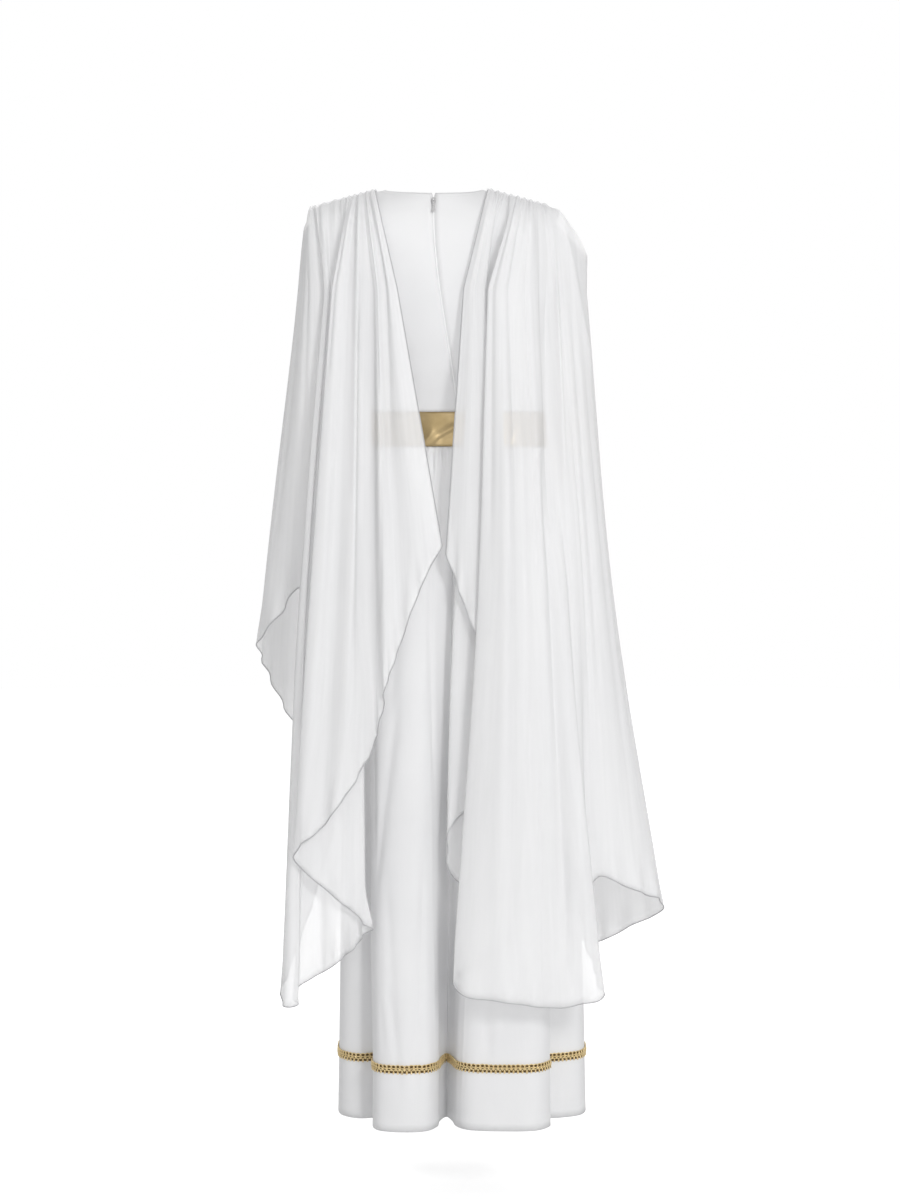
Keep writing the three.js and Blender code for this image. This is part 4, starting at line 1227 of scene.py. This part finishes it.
def hem_braid():
    """A metallic braid: a ground painted dark as the shade between its loops, two rows of loops that
    scallop its edges, and a cord.
    """
    middle = (BRAID_TOP + BRAID_BOTTOM) / 2
    places = even_steps(skirt_line(middle), BRAID_STEP)
    turns = round(len(places) * BRAID_STEP / BRAID_LOOP)
    bm = bmesh.new()
    heights = (BRAID_TOP - BRAID_GROUND_EDGE, middle, BRAID_BOTTOM + BRAID_GROUND_EDGE)
    strip = [(p + out * BRAID_LIFT) for p, out in places[::BRAID_GROUND_STEP] + places[:1]]
    points = [[p + Vector((0, 0, z - middle)) for p in strip] for z in heights]
    wide = range(0, len(strip) * BRAID_GROUND_STEP, BRAID_GROUND_STEP)
    lay_grid(bm, points, [[(i * BRAID_STEP, z) for i in wide] for z in heights])
    join_and_face_outwards(bm, WAIST_MIDDLE)
    bm.normal_update()
    bmesh.ops.solidify(bm, geom=bm.faces[:], thickness=BRAID_GROUND_THICK * MM)
    ground = len(bm.faces)
    for cord, row in enumerate((BRAID_ROW, -BRAID_ROW, 0)):
        usual_size, usual_lift = (MIDDLE_CORD_SIZE, MIDDLE_CORD_LIFT) if row == 0 else (1, 0)
        path = []
        for k in range(len(places)):
            angle = 2 * math.pi * turns * k / len(places) + math.pi * cord
            size = 1 + BRAID_UNEVEN * uneven(k / BRAID_UNEVEN_EVERY, cord * 3)
            size *= usual_size
            swing = BRAID_LOOP_SWING / BRAID_STEP * math.sin(angle) * size
            p, out = between_steps(places, k + swing)
            rise = row + BRAID_LOOP_HALF * math.cos(angle) * size
            weave = BRAID_WEAVE * math.sin(2 * angle + cord) + usual_lift
            lift = BRAID_LIFT + BRAID_CORD_LIFT + weave
            path.append((p + out * lift + Vector((0, 0, rise))) * MM)
        bm.from_mesh(tube_mesh("braid cord", path, BRAID_CORD, True))
    bm.faces.ensure_lookup_table()
    for face in bm.faces[ground:]:
        face.material_index = 1
    piece = new_piece("hem_braid_cords", bm, BRAID_SHADE_GROUND)
    piece.data.materials.append(BRAID_YARN)
    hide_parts("hem_braid")
    return piece


hem_braid_cords = hem_braid()


# Shoulder drapes
DRAPE_PER_FOLD = 8
ROUND_STEPS = 4
HANG_STEPS = 9
FLUTE_HEIGHT = 3.2
FLUTE_EVERY = 52
FLUTE_REACH = 95
FLUTE_DRIFT = 3
FLUTE_DRIFT_EVERY = 90
SMALL_GATHER = 0.8
SMALL_GATHER_START = 6
SMALL_GATHER_REACH = 60
SMALL_GATHER_UNEVEN = 45
DRAPE_SOFTNESS = 1.1
DRAPE_SOFT_DOWN = 240
DRAPE_SOFT_START = 120
RUFFLE_EVERY = 27
RUFFLE_REACH = 60
Ruffle = namedtuple("Ruffle", "place reach height")
LEFT_RUFFLE = Ruffle(11.0, 1.3, 9)
RIGHT_RUFFLE = Ruffle(15.5, 1.2, 3)
LEFT_CREASES = [Crease(*row) for row in (
    (9.2, 20, 9.0, 380, 12, -3),
    (1.4, 20, 2.2, 460, 12, 3.0), (3.4, -40, 3.0, 360, 10, 2.6), (4.5, 60, 4.35, 760, 22, 14),
    (5.6, -30, 5.4, 520, 11, 2.4), (6.5, 200, 6.2, 860, 12, 2.8), (2.6, 260, 3.4, 640, 9, 2.0),
    (7.4, 20, 7.6, 300, 9, 2.2), (12.6, 300, 12.2, 1000, 11, 2.6), (14.0, 260, 14.4, 1080, 9, 2.2),
    (21.2, 40, 21.0, 420, 11, 2.6), (22.4, 120, 22.8, 560, 12, 3.0), (23.6, 60, 23.2, 500, 11, 2.6),
    (20.4, 160, 20.6, 620, 9, 2.0), (25.2, 80, 25.6, 600, 13, 3.2), (26.6, 20, 26.2, 640, 12, 2.8),
    (28.4, 60, 28.8, 800, 12, 3.0), (30.2, 40, 30.6, 820, 12, 2.8), (31.6, -20, 31.2, 560, 10, 2.4),
    (12.9, 760, 12.7, 1400, 12, 7), (13.8, 760, 13.7, 1400, 12, -5), (14.7, 700, 14.6, 1400, 10, 6),
)]
RIGHT_CREASES = [Crease(*row) for row in (
    (1.2, 30, 1.5, 420, 11, 2.4), (8.6, -40, 8.9, 560, 12, 2.8), (9.9, 160, 10.1, 1140, 22, -7.0),
    (10.5, -30, 10.8, 420, 10, 2.4), (11.6, 200, 11.4, 1050, 20, 3.6),
    (12.4, 20, 12.7, 640, 11, 2.4),
    (15.5, 75, 14.4, 560, 34, 14), (14.1, 250, 13.3, 1180, 22, 10),
    (17.1, 20, 15.7, 460, 13, -4), (18.3, 10, 20.6, 260, 13, -4), (14.4, -20, 14.6, 520, 12, 3.2),
    (14.2, 420, 14.6, 1150, 20, -3.6),
    (17.4, 240, 17.8, 900, 12, 2.6), (18.6, 60, 18.4, 820, 12, 2.8),
    (19.6, 160, 19.9, 940, 13, 3.0),
    (20.8, 80, 20.6, 900, 12, 3.0), (21.6, 300, 21.9, 980, 12, 2.8), (23.4, 60, 23.2, 860, 13, 3.2),
    (24.8, 120, 25.1, 980, 12, 2.8), (26.4, 40, 26.2, 800, 12, 2.8), (28.2, 80, 28.6, 760, 12, 2.8),
    (29.6, 20, 29.3, 600, 11, 2.4), (15.6, 300, 15.3, 1050, 12, 3.4),
    (12.0, 800, 11.9, 1150, 9, 2.0),
)]


def drape_rows(drape):
    """The drape's points, with their drops and their distances from the hem."""
    steps = [i / ROUND_STEPS for i in range(DRAPE_ROUND_ROWS * ROUND_STEPS)]
    steps += [DRAPE_ROUND_ROWS + i / HANG_STEPS for i in range(DRAPE_HANG_ROWS * HANG_STEPS + 1)]
    numbers = range(len(drape.folds))
    rows = []
    drops = []
    for step in steps:
        fold_drops = [fold_drop(drape, number, step) for number in numbers]
        guides = [fold_point(drape, number, drop) for number, drop in zip(numbers, fold_drops)]
        rows.append(spline(guides, DRAPE_PER_FOLD, False))
        flat = [Vector((drop, -fold.hem - drop)) for drop, fold in zip(fold_drops, drape.folds)]
        drops.append(spread_between(flat, DRAPE_PER_FOLD))
    return rows, drops


def drape_piece(name, creases, ruffle):
    """One drape: its folds, uneven gathers at the shoulder, creases, and a fluted hem."""
    drape = DRAPES[name]
    rows, drops = drape_rows(drape)
    arcs = arcs_along(rows[len(rows) * 3 // 5])
    hem_arcs = arcs_along(rows[-1])
    bm = bmesh.new()
    flats = [[(arcs[i], -drop[0]) for i, drop in enumerate(line)] for line in drops]
    table = lay_grid(bm, rows, flats)
    face_outwards(bm, NECK_MIDDLE)
    pitch = arcs[-1] / (len(drape.folds) - 1)

    def relief(row, column):
        place = column / DRAPE_PER_FOLD
        drop, to_hem = drops[row][column]
        reach = SMALL_GATHER_REACH + SMALL_GATHER_UNEVEN * uneven(place * 1.7, drape.side)
        wave = math.sin(2 * math.pi * (place * 0.8 + 0.4 * uneven(place * 0.6, drape.side)))
        fade = 1 - smooth(drop / reach)
        height = SMALL_GATHER * wave * fade * smooth(drop / SMALL_GATHER_START)
        height += crease_relief(creases, place, drop, pitch)
        soft = DRAPE_SOFTNESS * uneven(place * 1.1, drop / DRAPE_SOFT_DOWN, drape.side)
        height += soft * smooth(drop / DRAPE_SOFT_START)
        drift = FLUTE_DRIFT * uneven(hem_arcs[column] / FLUTE_DRIFT_EVERY, 7)
        flute = math.sin(2 * math.pi * hem_arcs[column] / FLUTE_EVERY + drift)
        height += FLUTE_HEIGHT * flute * smooth(1 - to_hem / FLUTE_REACH) ** 2
        near = math.exp(-((place - ruffle.place) / ruffle.reach) ** 2)
        frill = math.sin(2 * math.pi * hem_arcs[column] / RUFFLE_EVERY)
        height += ruffle.height * near * frill * smooth(1 - to_hem / RUFFLE_REACH)
        return height

    emboss(bm, table, relief)
    edge = [line[0].co.copy() for line in table]
    edge += [vert.co.copy() for vert in table[-1][1:]]
    edge += [line[-1].co.copy() for line in reversed(table[:-1])]
    cloth = cloth_piece(name + "_chiffon", bm, CHIFFON_CLOTH, CHIFFON, name)
    rolled = tube_piece(name + "_rolled_edge", edge, ROLLED_EDGE, SHADED_CHIFFON_EDGE)
    return cloth, rolled


left_drape, left_edge = drape_piece("drape_left", LEFT_CREASES, LEFT_RUFFLE)
right_drape, right_edge = drape_piece("drape_right", RIGHT_CREASES, RIGHT_RUFFLE)


# Shoulder seams: the bound edge that both layers of a drape are gathered into
SHOULDER_SEAM = 1.8
SHOULDER_SEAM_STEPS = 40
SHOULDER_SEAM_LIFT = 1.2
SHOULDER_SEAM_UNEVEN = 0.5
SHOULDER_SEAM_PAST_NECK = 2
SHOULDER_SEAM_SHORT_OF_TIP = 14


def shoulder_seam(name):
    drape = DRAPES[name]
    start = drape.inner - SHOULDER_SEAM_PAST_NECK
    end = drape.outer - SHOULDER_SEAM_SHORT_OF_TIP
    path = []
    for i in range(SHOULDER_SEAM_STEPS + 1):
        x = lerp(start, end, i / SHOULDER_SEAM_STEPS)
        z = ridge(x) + drape.rise + SHOULDER_SEAM_LIFT + SHOULDER_SEAM_UNEVEN * uneven(x / 6)
        path.append(Vector((drape.side * x, 0, z)) * MM)
    seam_name = name + "_shoulder_seam"
    return tube_piece(seam_name, path, SHOULDER_SEAM, CHIFFON_SEAM)


left_seam = shoulder_seam("drape_left")
right_seam = shoulder_seam("drape_right")


# Stitching: rows along the neckline and armholes, each at its share of the way across half a
# bodice and with its steps to a row of the bodice, and a row above the hem
StitchRow = namedtuple("StitchRow", "share rows steps")
STITCH_ROWS = (StitchRow(0.045, NECK_ROWS, 10), StitchRow(0.955, ARMHOLE_ROWS, 8))
STITCH_LIFT = 0.7
STITCH_PITCH = 3.2
STITCH_LENGTH = 2.4
HEM_STITCH_HEIGHT = 24
HEM_STITCH_STEP = 6
HEM_STITCH_PITCH = 5.0
HEM_STITCH_LENGTH = 1.6


def lifted(point, out):
    """A point of the torso moved away from its middle."""
    away = Vector((point.x - lean(point.z), point.y, 0)).normalized()
    return (point + away * out) * MM


def stitching():
    bm = bmesh.new()
    for side in (1, -1):
        for is_back in (True, False):
            for share, rows, steps in STITCH_ROWS:
                line = []
                for i in range(rows * steps + 1):
                    row = BODICE_ROWS - rows + i / steps
                    line.append(lifted(bodice_point(row, share, side, is_back), STITCH_LIFT))
                stitch_row(bm, line, STITCH_PITCH, STITCH_LENGTH)
    hem_ring = even_steps(skirt_line(HEM + HEM_STITCH_HEIGHT), HEM_STITCH_STEP)
    line = [(p + out * STITCH_LIFT) * MM for p, out in hem_ring]
    stitch_row(bm, line, HEM_STITCH_PITCH, HEM_STITCH_LENGTH)
    piece = new_piece("dress_stitching", bm, DRESS_THREAD)


stitching()


# Zip: its coil under the seam, and rounded copies of the slider and its pull
METAL_JOINED = 0.002
METAL_FLAT_ANGLE = 2
METAL_ROUNDING = 0.18
COIL_TEETH = 230
COIL_PITCH = 1.3
COIL_TOOTH = (1.3, 0.7, 0.45)
COIL_BELOW_NECK = 2
COIL_HALF = 0.9
COIL_SUNK = 1.3
COIL_INSIDE_NOTCH = 0.4


def rounded_copy(name, node, body):
    bm = bmesh.new()
    bm.from_mesh(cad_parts[node].data)
    bmesh.ops.remove_doubles(bm, verts=bm.verts, dist=METAL_JOINED * MM)
    flat_angle = math.radians(METAL_FLAT_ANGLE)
    bmesh.ops.dissolve_limit(bm, angle_limit=flat_angle, verts=bm.verts, edges=bm.edges)
    piece = new_piece(name, bm, ZIP_METAL, body)
    for face in piece.data.polygons:
        face.use_smooth = False
    rounding_off = piece.modifiers.new("rounded edges", "BEVEL")
    rounding_off.width = METAL_ROUNDING * MM
    rounding_off.segments = 2
    rounding_off.limit_method = "ANGLE"
    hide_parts(node)


rounded_copy("zip_slider_plated", "zip_slider", "costume")
rounded_copy("zip_pull_plated", "zip_pull", "pull_tab")


def zip_coil():
    """The zip's coil, closed below the slider and parted in the short V above it."""
    bm = bmesh.new()
    shape = bead_shape()
    size = Matrix.Diagonal((*(side * MM for side in COIL_TOOTH), 1))
    for i in range(COIL_TEETH):
        z = -BACK_NECK_DROP - COIL_BELOW_NECK - i * COIL_PITCH
        parted = clamp01(1 - (-BACK_NECK_DROP - z) / ZIP_NOTCH_LENGTH)
        for side in (1, -1):
            point = torso_point(90, z - (COIL_PITCH / 2 if side < 0 else 0))
            point.x += side * (COIL_HALF + (ZIP_NOTCH - COIL_INSIDE_NOTCH) * parted)
            point.y -= COIL_SUNK
            stamp(bm, shape, Matrix.Translation(point * MM) @ size)
    bpy.data.meshes.remove(shape)
    piece = new_piece("zip_coil", bm, ZIP_COIL)
    return piece


zip_teeth = zip_coil()


# The folded edges of cloth that meet over the zip and stand up as one line, made light by a painted
# highlight
SEAM_FOLD = 1.1
SEAM_FOLD_SUNK = 0.15
SEAM_FOLD_POINTS = 78
SEAM_FOLD_UNEVEN = 0.15
SEAM_FOLD_UNEVEN_EVERY = 14
SEAM_FOLD_BELOW_NOTCH = 6
SEAM_FOLD_ABOVE_BAND = 2


def seam_fold():
    top = -BACK_NECK_DROP - ZIP_NOTCH_LENGTH - SEAM_FOLD_BELOW_NOTCH
    path = []
    for i in range(SEAM_FOLD_POINTS):
        z = lerp(top, BAND_TOP + SEAM_FOLD_ABOVE_BAND, i / (SEAM_FOLD_POINTS - 1))
        unevenness = SEAM_FOLD_UNEVEN * uneven(z / SEAM_FOLD_UNEVEN_EVERY)
        path.append(lifted(torso_point(90, z), SEAM_RISE - SEAM_FOLD_SUNK + unevenness))
    return tube_piece("centre_back_seam_fold", path, SEAM_FOLD, SEAM_HIGHLIGHT_CLOTH)


back_seam_fold = seam_fold()


# Studio, in metres: the floor, three soft lights that aim at one point, and a pale surround. Each
# light has its place, its size and its power in watts
FLOOR = -1.475
FLOOR_RADIUS = 9
LIT_POINT = Vector((0, 0, -0.6))
LIGHTS = (
    ("key light", (-1.7, 4.2, 1.1), 0.9, 92),
    ("soft light by the camera", (0.5, 4.9, 0.2), 2.4, 14),
    ("front light", (1.2, -3.6, 1.4), 1.6, 34),
)
LIGHT_FROM_BELOW = 0.41
LIGHT_FROM_ABOVE = 0.7
CAMERA_PLACE = (-0.0237, 4.2, -0.383)
CAMERA_TILT = 87
CAMERA_LENS = 85.14
CAMERA_SENSOR = 36


def studio():
    bm = bmesh.new()
    bmesh.ops.create_circle(bm, cap_ends=True, segments=64, radius=FLOOR_RADIUS)
    mesh = bpy.data.meshes.new("studio_floor")
    bm.to_mesh(mesh)
    bm.free()
    mesh.transform(Matrix.Translation((0, 0, FLOOR)))
    floor = bpy.data.objects.new("studio_floor", mesh)
    bpy.context.scene.collection.objects.link(floor)
    mesh.materials.append(studio_floor_material())
    for name, place, size, power in LIGHTS:
        lamp = bpy.data.lights.new(name, "AREA")
        lamp.size = size
        lamp.energy = power
        light = bpy.data.objects.new(name, lamp)
        light.location = place
        aim = LIT_POINT - Vector(place)
        light.rotation_euler = aim.to_track_quat("-Z", "Y").to_euler()
        bpy.context.scene.collection.objects.link(light)
    bpy.context.scene.world = pale_surround()
    bpy.context.scene.view_settings.view_transform = "Standard"


def pale_surround():
    """A white backdrop all round, whose light is softer from below than from above."""
    world = bpy.data.worlds.new("pale surround")
    world.use_nodes = True
    tree = world.node_tree
    surround = tree.nodes["Background"]
    direction = make_node(tree, "ShaderNodeTexCoord").outputs["Generated"]
    height = make_node(tree, "ShaderNodeSeparateXYZ", {0: direction}).outputs[2]
    inputs = {"Value": height, "From Min": -1.0, "From Max": 1.0}
    inputs.update({"To Min": LIGHT_FROM_BELOW, "To Max": LIGHT_FROM_ABOVE})
    soft = make_node(tree, "ShaderNodeMapRange", inputs).outputs[0]
    seen = make_node(tree, "ShaderNodeLightPath").outputs["Is Camera Ray"]
    strength = reckon(tree, "MAXIMUM", soft, seen)
    tree.links.new(strength, surround.inputs["Strength"])
    surround.inputs["Color"].default_value = (1, 1, 1, 1)
    return world


studio()

lens = bpy.data.cameras.new("camera")
lens.lens = CAMERA_LENS
lens.sensor_width = CAMERA_SENSOR
camera = bpy.data.objects.new("camera", lens)
camera.location = CAMERA_PLACE
camera.rotation_euler = (math.radians(CAMERA_TILT), 0, math.radians(180))
bpy.context.scene.collection.objects.link(camera)
bpy.context.scene.camera = camera
